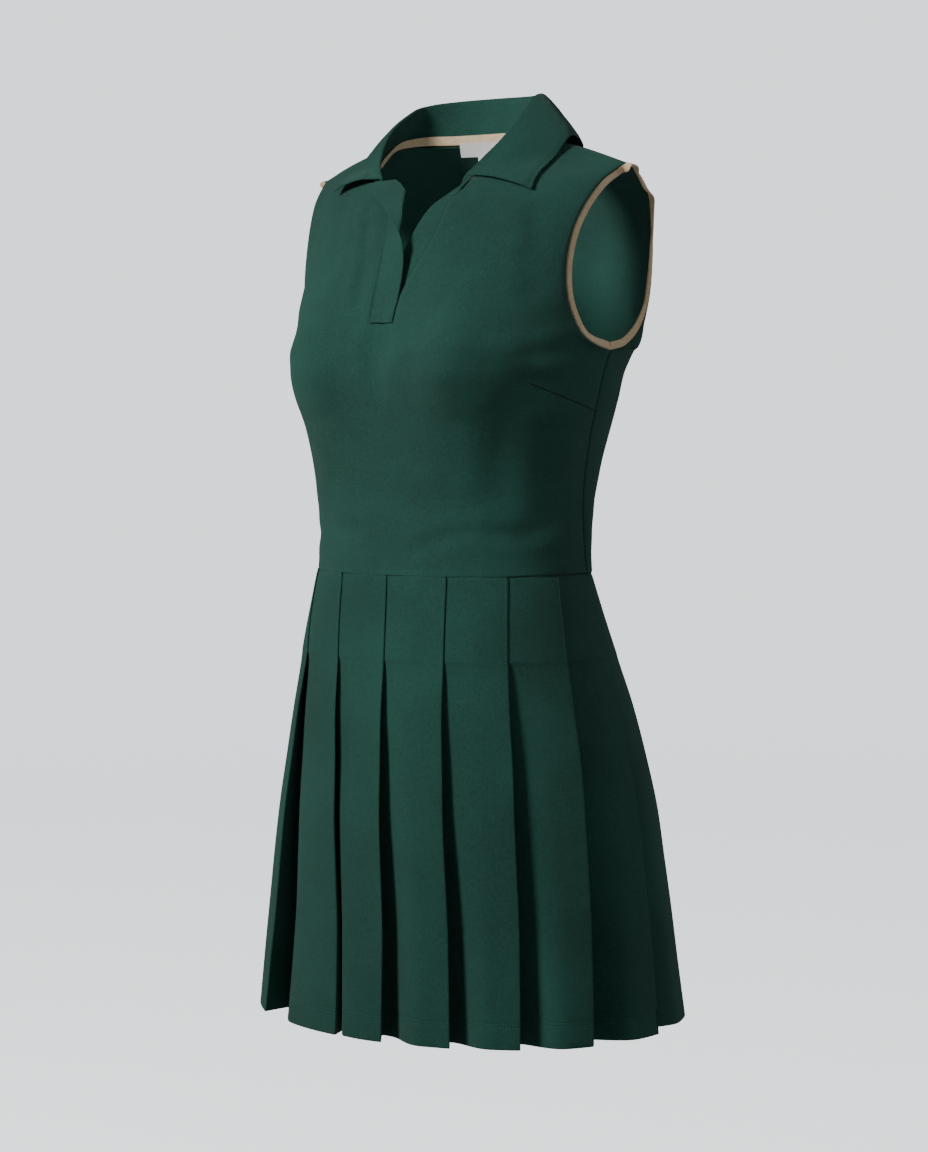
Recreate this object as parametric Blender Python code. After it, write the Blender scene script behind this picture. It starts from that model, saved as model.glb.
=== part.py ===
"""A sleeveless pleated golf dress with a knit polo collar, as worn, without a wearer.

Every piece is a thin closed wall of cloth. Metres, +Z up, the front of the dress
faces -Y and the wearer's left is +X. The origin is at shoulder level, half way
between the shoulders, where the dress is held when it is worn.
"""

import math

import bpy
import numpy as np
from mathutils import Vector
from mathutils.bvhtree import BVHTree

CLOTH = 0.0014
SKIRT_CLOTH = 0.0012
LAYER_STEP = 0.0017
SEAM_GAP = 0.0003
TRIM_THICK = 0.0018
COLLAR_THICK = 0.0016
BINDING_WIDTH = 0.0080
BINDING_THICK = 0.0024
HALF_COLUMNS = 10

PLACKET_HALF = 0.0118
PLACKET_BOTTOM_Z = -0.1600
WAIST_Z = -0.3930
RELEASE_Z = -0.4710
HEM_Z = -0.8150
UNDERLAY = 0.0290

NECK_SIDE = (0.0750, -0.0040, 0.0160)
SHOULDER_RISE = 0.0050
SHOULDER_TIP = (0.1780, 0.0110, -0.0120)
NECK_BACK = (0.0450, 0.0180)

BUST_RISE = 0.0400
BUST_X = 0.0880
BUST_Z = -0.2000
BUST_SPREAD = (0.0480, 0.0450, 0.0600)

# Rows of the front, from the waist up. Each row runs from the middle (or the edge
# of the placket slot and the neck) to the side seam or the armhole.
# inner z, outer z, outer x, outer y, middle y, turn in degrees, right x, left x
FRONT_ROWS = (
    (-0.3930, -0.3930, 0.1425, -0.0030, -0.1220, 90, 0.0118, 0.0118),
    (-0.3690, -0.3690, 0.1410, -0.0042, -0.1200, 90, 0.0118, 0.0118),
    (-0.3440, -0.3440, 0.1400, -0.0050, -0.1215, 90, 0.0118, 0.0118),
    (-0.3160, -0.3160, 0.1410, -0.0058, -0.1240, 90, 0.0118, 0.0118),
    (-0.2880, -0.2880, 0.1440, -0.0053, -0.1265, 90, 0.0118, 0.0118),
    (-0.2600, -0.2600, 0.1485, -0.0042, -0.1280, 90, 0.0118, 0.0118),
    (-0.2340, -0.2340, 0.1540, -0.0028, -0.1280, 90, 0.0118, 0.0118),
    (-0.2100, -0.2090, 0.1600, -0.0018, -0.1265, 90, 0.0118, 0.0118),
    (-0.1900, -0.1862, 0.1668, -0.0006, -0.1235, 90, 0.0118, 0.0118),
    (-0.1760, -0.1815, 0.1655, -0.0200, -0.1210, 88, 0.0118, 0.0118),
    (-0.1600, -0.1710, 0.1605, -0.0370, -0.1185, 83, 0.0118, 0.0118),
    (-0.1370, -0.1480, 0.1550, -0.0483, -0.1155, 76, 0.0118, 0.0165),
    (-0.1120, -0.1250, 0.1525, -0.0512, -0.1115, 70, 0.0118, 0.0265),
    (-0.0880, -0.1000, 0.1530, -0.0503, -0.1065, 64, 0.0118, 0.0380),
    (-0.0660, -0.0760, 0.1555, -0.0445, -0.1005, 58, 0.0118, 0.0450),
    (-0.0500, -0.0560, 0.1595, -0.0350, -0.0945, 54, 0.0118, 0.0475),
    (-0.0400, -0.0400, 0.1640, -0.0240, -0.0860, 50, 0.0380, 0.0520),
    (-0.0240, -0.0280, 0.1680, -0.0130, -0.0745, 46, 0.0600, 0.0600),
    (-0.0060, -0.0190, 0.1730, 0.0000, -0.0480, 44, 0.0705, 0.0705),
)
# middle z, outer z, outer x, outer y, middle y, turn in degrees
BACK_ROWS = (
    (-0.3930, -0.3930, 0.1425, -0.0030, 0.0480, 90),
    (-0.3690, -0.3690, 0.1410, -0.0042, 0.0480, 90),
    (-0.3440, -0.3440, 0.1400, -0.0050, 0.0600, 90),
    (-0.3160, -0.3160, 0.1410, -0.0058, 0.0760, 90),
    (-0.2880, -0.2880, 0.1440, -0.0053, 0.0880, 90),
    (-0.2600, -0.2600, 0.1485, -0.0042, 0.1010, 90),
    (-0.2340, -0.2340, 0.1540, -0.0028, 0.1110, 90),
    (-0.2100, -0.2090, 0.1600, -0.0018, 0.1200, 90),
    (-0.1900, -0.1862, 0.1668, -0.0006, 0.1255, 90),
    (-0.1780, -0.1810, 0.1665, 0.0260, 0.1265, 88),
    (-0.1600, -0.1660, 0.1655, 0.0500, 0.1275, 82),
    (-0.1350, -0.1440, 0.1640, 0.0670, 0.1270, 72),
    (-0.1100, -0.1205, 0.1635, 0.0745, 0.1240, 66),
    (-0.0850, -0.0940, 0.1640, 0.0770, 0.1190, 60),
    (-0.0600, -0.0673, 0.1650, 0.0745, 0.1110, 54),
    (-0.0350, -0.0400, 0.1680, 0.0650, 0.0980, 48),
    (-0.0120, -0.0240, 0.1710, 0.0480, 0.0820, 42),
    (0.0060, -0.0160, 0.1740, 0.0300, 0.0640, 38),
)
SQUARENESS = 2.3

# z of the row, x of the slot side, x of the free edge
UNDER_STRIP = (
    (-0.1595, 0.0118, -0.0105),
    (-0.1370, 0.0165, -0.0045),
    (-0.1120, 0.0265, 0.0035),
    (-0.0880, 0.0380, 0.0115),
    (-0.0660, 0.0450, 0.0205),
    (-0.0500, 0.0475, 0.0300),
    (-0.0410, 0.0515, 0.0380),
)
# z, then x and height above the front for the seam, the middle and the free edge
OVER_STRIP = (
    (-0.1612, -0.0125, 0.0017, 0.0010, 0.0019, 0.0141, 0.0020),
    (-0.1370, -0.0125, 0.0017, 0.0020, 0.0023, 0.0165, 0.0028),
    (-0.1180, -0.0122, 0.0019, 0.0035, 0.0036, 0.0180, 0.0050),
    (-0.1000, -0.0120, 0.0021, 0.0040, 0.0066, 0.0172, 0.0085),
    (-0.0880, -0.0120, 0.0023, 0.0035, 0.0098, 0.0150, 0.0130),
    (-0.0740, -0.0122, 0.0025, 0.0030, 0.0118, 0.0070, 0.0185),
    (-0.0580, -0.0124, 0.0025, 0.0045, 0.0108, -0.0120, 0.0150),
    (-0.0460, -0.0126, 0.0025, 0.0020, 0.0090, -0.0340, 0.0085),
    (-0.0375, -0.0180, 0.0023, -0.0065, 0.0075, -0.0520, 0.0045),
)

# Stations of the collar from the wearer's right front end round the back to the
# left front end: place along the neck seam, then the roll and the leaf's edge.
# share, roll x y z, edge x y z
COLLAR = (
    (0.000, -0.0450, -0.0700, -0.0200, -0.1020, -0.0620, -0.0380),
    (0.070, -0.0600, -0.0560, -0.0040, -0.1070, -0.0400, -0.0230),
    (0.140, -0.0690, -0.0290, 0.0260, -0.1070, -0.0220, -0.0030),
    (0.210, -0.0670, 0.0040, 0.0480, -0.1050, 0.0020, 0.0110),
    (0.300, -0.0620, 0.0300, 0.0570, -0.0960, 0.0440, 0.0080),
    (0.390, -0.0400, 0.0490, 0.0610, -0.0620, 0.0800, 0.0060),
    (0.490, 0.0000, 0.0550, 0.0620, 0.0000, 0.0940, 0.0050),
    (0.590, 0.0420, 0.0490, 0.0610, 0.0620, 0.0800, 0.0060),
    (0.680, 0.0720, 0.0270, 0.0590, 0.1080, 0.0420, 0.0090),
    (0.775, 0.0780, 0.0020, 0.0530, 0.1210, 0.0000, 0.0150),
    (0.850, 0.0765, -0.0320, 0.0220, 0.1200, -0.0240, -0.0080),
    (0.930, 0.0640, -0.0530, -0.0020, 0.1160, -0.0440, -0.0270),
    (1.000, 0.0500, -0.0680, -0.0220, 0.1190, -0.0580, -0.0420),
)
COLLAR_COLUMNS = 43
COLLAR_STEPS = (0.0, 0.12, 0.24, 0.33, 0.39, 0.44, 0.49, 0.56, 0.67, 0.83, 1.0)
COLLAR_START_X = -0.0470
TAPE_HEIGHTS = (0.0012, 0.0056, 0.0100)
LABEL = (0.0000, 0.0630, 0.0135)
SIZE_TAB = (0.0000, 0.0180, 0.0120)

# z, half width, side y, front y, back y, squareness
SKIRT_RINGS = (
    (-0.3930, 0.1425, -0.0030, -0.1225, 0.0480, 2.30),
    (-0.4430, 0.1535, -0.0030, -0.1330, 0.0800, 2.25),
    (-0.4810, 0.1620, -0.0020, -0.1400, 0.1040, 2.20),
    (-0.5190, 0.1710, -0.0010, -0.1480, 0.1250, 2.15),
    (-0.5670, 0.1820, 0.0000, -0.1540, 0.1430, 2.10),
    (-0.6150, 0.1900, 0.0020, -0.1600, 0.1580, 2.10),
    (-0.6630, 0.1970, 0.0030, -0.1620, 0.1630, 2.10),
    (-0.7110, 0.2030, 0.0040, -0.1630, 0.1700, 2.10),
    (-0.7590, 0.2080, 0.0060, -0.1660, 0.1760, 2.10),
    (-0.8150, 0.2130, 0.0080, -0.1690, 0.1880, 2.10),
)
# The outer folds of the front, as angles round the ring from the middle of the
# front towards the wearer's left: at the waist, the release and the hem, then the
# depth of the open pleat at the hem and how soon the next panel comes out again.
FOLDS = (
    (-89.0, -86.0, -78.0, 0.025, 0.60),
    (-55.0, -40.0, -42.0, 0.025, 0.45),
    (-21.5, -16.3, -6.3, 0.026, 0.22),
    (-0.3, 1.8, 6.5, 0.024, 0.60),
    (22.5, 23.0, 25.0, 0.024, 0.60),
    (48.7, 46.7, 43.7, 0.026, 0.60),
    (74.0, 72.0, 65.2, 0.028, 0.60),
    (90.0, 95.5, 90.5, 0.026, 0.60),
)
# The folds of the back: share of the way round, waist and hem, and the same two
BACK_FOLDS = (
    (0.125, 0.130, 0.025, 0.60),
    (0.250, 0.240, 0.024, 0.55),
    (0.375, 0.385, 0.026, 0.60),
    (0.500, 0.495, 0.025, 0.45),
    (0.625, 0.630, 0.026, 0.60),
    (0.750, 0.745, 0.024, 0.50),
    (0.875, 0.880, 0.025, 0.60),
)
FRONT_PLEATS = 7
SKIRT_Z = (
    -0.3934, -0.4320, -0.4710, -0.4900, -0.5160, -0.5500, -0.5900,
    -0.6350, -0.6800, -0.7250, -0.7650, -0.7930, -0.8150,
)
FACE_STEPS = 6

GREEN = (0.018, 0.080, 0.058)
TAN = (0.610, 0.456, 0.270)
WHITE = (0.78, 0.79, 0.78)


def material(name, colour, roughness):
    mat = bpy.data.materials.new(name)
    mat.use_nodes = True
    shader = mat.node_tree.nodes["Principled BSDF"]
    shader.inputs["Base Color"].default_value = (*colour, 1.0)
    shader.inputs["Roughness"].default_value = roughness
    shader.inputs["Metallic"].default_value = 0.0
    mat.diffuse_color = (*colour, 1.0)
    return mat


def curve_at(xs, ys, at):
    """A smooth curve through the points (xs, ys), read at the places given."""
    xs = np.asarray(xs, float)
    ys = np.asarray(ys, float)
    at = np.clip(np.asarray(at, float), xs[0], xs[-1])
    flat = ys.ndim == 1
    if flat:
        ys = ys[:, None]
    step = np.diff(xs)[:, None]
    rise = np.diff(ys, axis=0) / step
    slope = np.zeros_like(ys)
    slope[1:-1] = (rise[1:] * step[:-1] + rise[:-1] * step[1:]) / (step[1:] + step[:-1])
    slope[0] = rise[0]
    slope[-1] = rise[-1]
    i = np.clip(np.searchsorted(xs, at, side="right") - 1, 0, len(xs) - 2)
    h = step[i]
    t = ((at - xs[i]) / h[:, 0])[:, None]
    a = (1 + 2 * t) * (1 - t) ** 2 * ys[i]
    b = t * (1 - t) ** 2 * h * slope[i]
    c = t * t * (3 - 2 * t) * ys[i + 1]
    d = t * t * (t - 1) * h * slope[i + 1]
    out = a + b + c + d
    return out[:, 0] if flat else out


def unit(v):
    return v / np.maximum(np.linalg.norm(v, axis=-1, keepdims=True), 1e-12)


def grid_normals(points, keep):
    """Normals at the points of a grid, from its kept cells only."""
    a = points[:-1, :-1]
    b = points[:-1, 1:]
    c = points[1:, 1:]
    d = points[1:, :-1]
    cell = np.cross(c - a, d - b) * keep[..., None]
    normal = np.zeros_like(points)
    normal[:-1, :-1] += cell
    normal[:-1, 1:] += cell
    normal[1:, 1:] += cell
    normal[1:, :-1] += cell
    return unit(normal)


def body(name, outer, inner, keep, mat, ring=False):
    """A closed wall between two grids, over the kept cells."""
    rows, columns = outer.shape[:2]
    count = rows * columns
    index = np.arange(count).reshape(rows, columns)
    faces = []
    edges = {}
    last = columns if ring else columns - 1
    for i in range(rows - 1):
        for j in range(last):
            if not keep[i, j]:
                continue
            k = (j + 1) % columns
            quad = (index[i, j], index[i, k], index[i + 1, k], index[i + 1, j])
            faces.append([int(q) for q in quad])
            faces.append([int(q) + count for q in reversed(quad)])
            for s in range(4):
                p, q = int(quad[s]), int(quad[(s + 1) % 4])
                if (q, p) in edges:
                    del edges[(q, p)]
                else:
                    edges[(p, q)] = True
    for p, q in edges:
        faces.append([q, p, p + count, q + count])
    points = np.concatenate([outer.reshape(-1, 3), inner.reshape(-1, 3)])
    used = sorted({v for face in faces for v in face})
    place = {v: n for n, v in enumerate(used)}
    faces = [[place[v] for v in face] for face in faces]
    return solid(name, points[used], faces, mat)


def solid(name, points, faces, mat):
    mesh = bpy.data.meshes.new(name)
    mesh.from_pydata([tuple(float(c) for c in p) for p in points], [], faces)
    mesh.update()
    total = 0.0
    for polygon in mesh.polygons:
        ring = [mesh.vertices[v].co for v in polygon.vertices]
        for s in range(1, len(ring) - 1):
            total += ring[0].dot(ring[s].cross(ring[s + 1]))
    if total < 0:
        mesh.flip_normals()
    for polygon in mesh.polygons:
        polygon.use_smooth = True
    mesh.materials.append(mat)
    obj = bpy.data.objects.new(name, mesh)
    bpy.context.scene.collection.objects.link(obj)
    return obj


def swept(name, centres, sections, mat):
    """A closed loop of a section: sections[i] are the section's points at i."""
    rings, around = sections.shape[:2]
    faces = []
    for i in range(rings):
        k = (i + 1) % rings
        for j in range(around):
            m = (j + 1) % around
            faces.append([i * around + j, i * around + m, k * around + m, k * around + j])
    return solid(name, sections.reshape(-1, 3), faces, mat)


def bust(x, z, share):
    """How far the front stands out over the bust, faded out at the side."""
    low = np.where(z < BUST_Z, BUST_SPREAD[1], BUST_SPREAD[2])
    across = np.exp(-((np.abs(x) - BUST_X) ** 2) / (2 * BUST_SPREAD[0] ** 2))
    along = np.exp(-((z - BUST_Z) ** 2) / (2 * low**2))
    return BUST_RISE * across * along * (1 - share**4)


def arc_row(start_x, z0, z1, x1, y1, middle_y, turn, columns):
    """One half row from start_x out to (x1, y1), as x, y, z and the share."""
    power = 2 / SQUARENESS
    turn = math.radians(turn)
    first = math.asin(math.sin(turn) * (start_x / x1) ** (1 / power)) if start_x > 0 else 0.0
    share = np.linspace(0, 1, columns + 1)
    phi = first + (turn - first) * share
    x = x1 * (np.sin(phi) / math.sin(turn)) ** power
    drop = 1 - np.abs(np.cos(phi)) ** power
    y = middle_y + (y1 - middle_y) * drop / (1 - abs(math.cos(turn)) ** power)
    z = z0 + (z1 - z0) * (x - x[0]) / (x[-1] - x[0])
    return x, y, z, share


def front_grid(slot=True):
    rows = []
    for z0, z1, x1, y1, middle_y, turn, right, left in FRONT_ROWS:
        halves = []
        for start in (right, left):
            start = start if slot else 0.0
            x, y, z, share = arc_row(start, z0, z1, x1, y1, middle_y, turn, HALF_COLUMNS)
            if turn == 90:
                y[-1] -= SEAM_GAP
            halves.append((x, y - bust(x, z, share), z))
        middle = (0.0, middle_y - float(bust(0.0, z0, 0.0)), z0)
        right_half = np.stack([-halves[0][0], halves[0][1], halves[0][2]], 1)[::-1]
        left_half = np.stack(halves[1], 1)
        rows.append(np.concatenate([right_half, [middle], left_half]))
    share = np.linspace(0, 1, HALF_COLUMNS + 1)[:, None]
    side = np.array(NECK_SIDE) - (0, SEAM_GAP + 0.0002, 0)
    tip = np.array(SHOULDER_TIP) - (0, SEAM_GAP + 0.0002, 0)
    top = side + (tip - side) * share
    top[:, 2] += SHOULDER_RISE * np.sin(np.pi * share[:, 0])
    mirror = top[::-1] * (-1, 1, 1)
    rows.append(np.concatenate([mirror, [(0, side[1], side[2])], top]))
    return np.array(rows)


def back_grid():
    rows = []
    for z0, z1, x1, y1, middle_y, turn in BACK_ROWS:
        x, y, z, share = arc_row(0.0, z0, z1, x1, y1, middle_y, turn, HALF_COLUMNS)
        if turn == 90:
            y[-1] += SEAM_GAP
        half = np.stack([x, y, z], 1)
        rows.append(np.concatenate([half[:0:-1] * (-1, 1, 1), half]))
    neck = HALF_COLUMNS // 2
    half = []
    for k in range(HALF_COLUMNS + 1):
        if k <= neck:
            q = k / neck * math.pi / 2
            x = NECK_SIDE[0] * math.sin(q)
            y = NECK_BACK[0] - (NECK_BACK[0] - NECK_SIDE[1]) * (1 - math.cos(q))
            z = NECK_BACK[1] - (NECK_BACK[1] - NECK_SIDE[2]) * (x / NECK_SIDE[0]) ** 2
        else:
            q = (k - neck) / (HALF_COLUMNS - neck)
            x, y, z = [NECK_SIDE[i] + (SHOULDER_TIP[i] - NECK_SIDE[i]) * q for i in range(3)]
            z += SHOULDER_RISE * math.sin(math.pi * q)
        half.append((x, y + SEAM_GAP + 0.0002, z))
    half = np.array(half)
    rows.append(np.concatenate([half[:0:-1] * (-1, 1, 1), half]))
    return np.array(rows)


def seam_normals(normal, turn_rows):
    """At the side and shoulder seams both pieces are offset in one plane."""
    for i in range(turn_rows):
        for j in (0, -1):
            normal[i, j, 1] = 0.0
            normal[i, j, 2] = 0.0
    normal[-1, :, 1] *= 0.15
    return unit(normal)


def tree(points, faces):
    return BVHTree.FromPolygons([Vector(p) for p in points], faces)


def grid_tree(grids):
    points = []
    faces = []
    for grid, keep in grids:
        base = len(points)
        rows, columns = grid.shape[:2]
        points.extend(tuple(p) for p in grid.reshape(-1, 3))
        for i in range(rows - 1):
            for j in range(columns - 1):
                if keep[i, j]:
                    a = base + i * columns + j
                    faces.append((a, a + 1, a + columns + 1, a + columns))
    return tree(points, faces)


for old in list(bpy.data.objects):
    bpy.data.objects.remove(old, do_unlink=True)

KNIT = material("green_knit", GREEN, 0.72)
RIB = material("green_rib_knit", GREEN, 0.80)
BINDING = material("tan_binding", TAN, 0.75)
TAPE = material("tan_tape", TAN, 0.80)
LABEL_WHITE = material("white_label", WHITE, 0.60)

# The front and the back of the bodice
front = front_grid()
front_keep = np.ones((front.shape[0] - 1, front.shape[1] - 1), bool)
slot_row = [i for i, row in enumerate(FRONT_ROWS) if row[0] == PLACKET_BOTTOM_Z][0]
front_keep[slot_row:, HALF_COLUMNS : HALF_COLUMNS + 2] = False
front_normal = grid_normals(front, front_keep)
if front_normal[3, HALF_COLUMNS][1] > 0:
    front_normal = -front_normal
side_rows = sum(1 for row in FRONT_ROWS if row[5] == 90)
front_normal = seam_normals(front_normal, side_rows)
body("front_bodice", front, front - front_normal * CLOTH, front_keep, KNIT)

back = back_grid()
back_keep = np.ones((back.shape[0] - 1, back.shape[1] - 1), bool)
back_normal = grid_normals(back, back_keep)
if back_normal[3, HALF_COLUMNS][1] < 0:
    back_normal = -back_normal
back_normal = seam_normals(back_normal, side_rows)
body("back_bodice", back, back - back_normal * CLOTH, back_keep, KNIT)

# The armhole bindings, a band round each armhole's edge
front_edge = front[side_rows - 1 :, -1]
front_out = front_normal[side_rows - 1 :, -1]
back_edge = back[side_rows - 1 :, -1][::-1]
back_out = back_normal[side_rows - 1 :, -1][::-1]
loop = np.concatenate([front_edge[:-1], [(front_edge[-1] + back_edge[0]) / 2], back_edge[1:-1]])
loop_out = np.concatenate([front_out[:-1], [front_out[-1]], back_out[1:-1]])
loop[0] = (front_edge[0] + back_edge[-1]) / 2
loop_out[0] = (1, 0, 0)
path = np.stack([loop, (loop + np.roll(loop, -1, 0)) / 2], 1).reshape(-1, 3)
out = unit(np.stack([loop_out, (loop_out + np.roll(loop_out, -1, 0)) / 2], 1).reshape(-1, 3))
tangent = unit(np.roll(path, -1, 0) - np.roll(path, 1, 0))
reach = unit(np.cross(tangent, out))
middle = path.mean(0)
reach = np.where(((middle - path) * reach).sum(1)[:, None] > 0, reach, -reach)
half_t = BINDING_THICK / 2
profile = (
    (SEAM_GAP + 0.0004, -half_t * 0.7),
    (SEAM_GAP + 0.0004, half_t * 0.7),
    (0.0014, half_t),
    (BINDING_WIDTH - 0.0012, half_t),
    (BINDING_WIDTH, half_t * 0.5),
    (BINDING_WIDTH, -half_t * 0.5),
    (BINDING_WIDTH - 0.0012, -half_t),
    (0.0014, -half_t),
)
core = path - out * CLOTH / 2
sections = np.stack([core + reach * u + out * v for u, v in profile], 1)
swept("armhole_binding_left", core, sections, BINDING)
swept("armhole_binding_right", core, sections * (-1, 1, 1), BINDING)

# The front placket: the under strip in its slot and the over strip turned out
plain = front_grid(slot=False)
plain_tree = grid_tree([(plain, np.ones((plain.shape[0] - 1, plain.shape[1] - 1), bool))])


def on_front(x, z, height):
    hit, normal, _, _ = plain_tree.ray_cast(Vector((x, -0.6, z)), Vector((0, 1, 0)))
    if normal.y > 0:
        normal = -normal
    return np.array(hit) + np.array(normal) * height


def strip(name, centre, thick, mat):
    keep = np.ones((centre.shape[0] - 1, centre.shape[1] - 1), bool)
    normal = grid_normals(centre, keep)
    return body(name, centre + normal * thick / 2, centre - normal * thick / 2, keep, mat)


rows = []
for z, slot_x, free_x in UNDER_STRIP:
    xs = np.linspace(slot_x - SEAM_GAP - 0.0004, free_x, 5)
    rows.append([on_front(x, z, -0.0003 - TRIM_THICK / 2) for x in xs])
strip("placket_under", np.array(rows), TRIM_THICK, KNIT)

stations = np.array(OVER_STRIP)
zs = np.linspace(stations[0, 0], stations[-1, 0], 19)
fine = curve_at(stations[:, 0], stations, zs)
rows = []
for z, x0, h0, x1, h1, x2, h2 in fine:
    ends = np.array([on_front(x0, z, h0), on_front(x1, z, h1), on_front(x2, z, h2)])
    rows.append(curve_at((0.0, 0.5, 1.0), ends, np.linspace(0, 1, 9)))
strip("placket_over", np.array(rows), TRIM_THICK, KNIT)

# The collar, its neck tape and the labels
neck_back = back[-1, HALF_COLUMNS - HALF_COLUMNS // 2 : HALF_COLUMNS + HALF_COLUMNS // 2 + 1]
right_neck = front[slot_row + 5 :, HALF_COLUMNS]
left_neck = front[slot_row + 6 :, HALF_COLUMNS + 2]
neck = np.concatenate([right_neck[:-1], neck_back, left_neck[:-1][::-1]])
steps = np.concatenate([[0], np.cumsum(np.linalg.norm(np.diff(neck, axis=0), axis=1))])
along = np.linspace(0, steps[-1], 400)
dense = np.stack([np.interp(along, steps, neck[:, i]) for i in range(3)], 1)
start = int(np.argmax((dense[:, 0] > -0.2) & (dense[:, 0] < COLLAR_START_X)))
dense = dense[start:]
run = np.concatenate([[0], np.cumsum(np.linalg.norm(np.diff(dense, axis=0), axis=1))])
run = run / run[-1]
collar = np.array(COLLAR)
seam = np.stack([np.interp(collar[:, 0], run, dense[:, i]) for i in range(3)], 1)
seam[:, 2] += 0.0022
roll = collar[:, 1:4]
edge = collar[:, 4:7]
inner_side = (seam + roll) / 2 * (0.985, 0.985, 1) + (0, 0, 0)
outer_side = (roll + edge) / 2 + unit((edge - seam) * (1, 1, 0)) * 0.001 + (0, 0, 0.001)
knots = (0.0, 0.24, 0.44, 0.67, 1.0)
stack = np.stack([seam, inner_side, roll, outer_side, edge], 1)
steps_s = np.linspace(0, 1, COLLAR_COLUMNS)
by_column = curve_at(collar[:, 0], stack.reshape(len(collar), -1), steps_s).reshape(-1, 5, 3)
surface = np.stack([curve_at(knots, column, COLLAR_STEPS) for column in by_column], 1)
bodice_tree = grid_tree([(front, front_keep), (back, back_keep)])
roll_step = COLLAR_STEPS.index(0.44)
for i in range(roll_step + 1, surface.shape[0]):
    for j in range(surface.shape[1]):
        point = Vector(surface[i, j])
        near, normal, _, _ = bodice_tree.find_nearest(point)
        axis = Vector((near.x, near.y - 0.01, max(near.z + 0.10, 0.0)))
        if normal.dot(axis) < 0:
            normal = -normal
        gap = (point - near).dot(normal)
        least = 0.0030 + 0.0045 * max(0.0, 1 - steps_s[j] / 0.10)
        if gap < least:
            surface[i, j] = np.array(near + normal * least)
strip("collar", surface, COLLAR_THICK, RIB)

keep = np.ones((surface.shape[0] - 1, surface.shape[1] - 1), bool)
stand_normal = grid_normals(surface, keep)
toward = np.array((0.0, -0.01, 0.0)) - surface[0]
stand_normal = np.where((stand_normal[:2] * toward).sum(-1)[..., None] > 0, stand_normal[:2], -stand_normal[:2])
rows = []
for height in TAPE_HEIGHTS:
    up = unit(surface[2] - surface[0])
    inward = unit(stand_normal[0] * (1, 1, 0.3))
    rows.append(surface[0] + up * height + inward * (COLLAR_THICK / 2 + SEAM_GAP + 0.0009))
strip("neck_tape", np.array(rows)[:, 1:-1], 0.0008, TAPE)

inner_back = back - back_normal * CLOTH
inner_tree = grid_tree([(inner_back, back_keep)])


def patch(name, centre_x, width, height, top_z, lift, mat):
    rows = []
    for z in np.linspace(top_z, top_z - height, 4):
        row = []
        for x in np.linspace(centre_x - width / 2, centre_x + width / 2, 7):
            hit, normal, _, _ = inner_tree.ray_cast(Vector((x, -0.05, z)), Vector((0, 1, 0)))
            if normal.y > 0:
                normal = -normal
            row.append(np.array(hit) + np.array(normal) * lift)
        rows.append(row)
    return strip(name, np.array(rows), 0.0006, mat)


patch("neck_label", *LABEL, 0.0150, 0.0010, LABEL_WHITE)
patch("size_tab", *SIZE_TAB, 0.0150 - LABEL[2] - 0.0006, 0.0010, LABEL_WHITE)

# The pleated skirt, a front and a back that meet at the sides
rings = np.array(SKIRT_RINGS)
depths = [row[3:5] for row in FOLDS] + [row[2:4] for row in BACK_FOLDS]


def ring_at(z):
    """Angles, points and lengths round the ring at a height."""
    _, a, side_y, front_y, back_y, square = curve_at(-rings[:, 0], rings, [-z])[0]
    angle = np.radians(np.linspace(-140, 320, 3681))
    s, c = np.sin(angle), np.cos(angle)
    x = a * np.sign(s) * np.abs(s) ** (2 / square)
    depth = np.where(c > 0, side_y - front_y, back_y - side_y)
    y = side_y - depth * np.sign(c) * np.abs(c) ** (2 / square)
    points = np.stack([x, y], 1)
    length = np.concatenate([[0], np.cumsum(np.linalg.norm(np.diff(points, axis=0), axis=1))])
    return angle, points, length


def folds_at(z, angle, length):
    """Where the folds lie along the ring, with the one before and the one after."""
    hold = np.clip((WAIST_Z - z) / (WAIST_Z - RELEASE_Z), 0, 1)
    down = np.clip((RELEASE_Z - z) / (RELEASE_Z - HEM_Z), 0, 1)
    front = []
    for waist, release, hem, _, _ in FOLDS:
        held = waist + (release - waist) * hold
        front.append(math.radians(held + (hem - release) * down))
    front = np.interp(front, angle, length)
    once = np.interp(angle[0] + 2 * math.pi, angle, length)
    gap = front[0] + once - front[-1]
    back = [front[-1] + gap * (waist + (hem - waist) * down) for waist, hem, _, _ in BACK_FOLDS]
    places = np.concatenate([front, back, [front[0] + once]])
    return np.concatenate([[places[-2] - once], places])


angle, _, length = ring_at(WAIST_Z)
at_waist = folds_at(WAIST_Z, angle, length)
under = np.minimum(UNDERLAY, 0.62 * np.diff(at_waist)[:-1])


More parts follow.
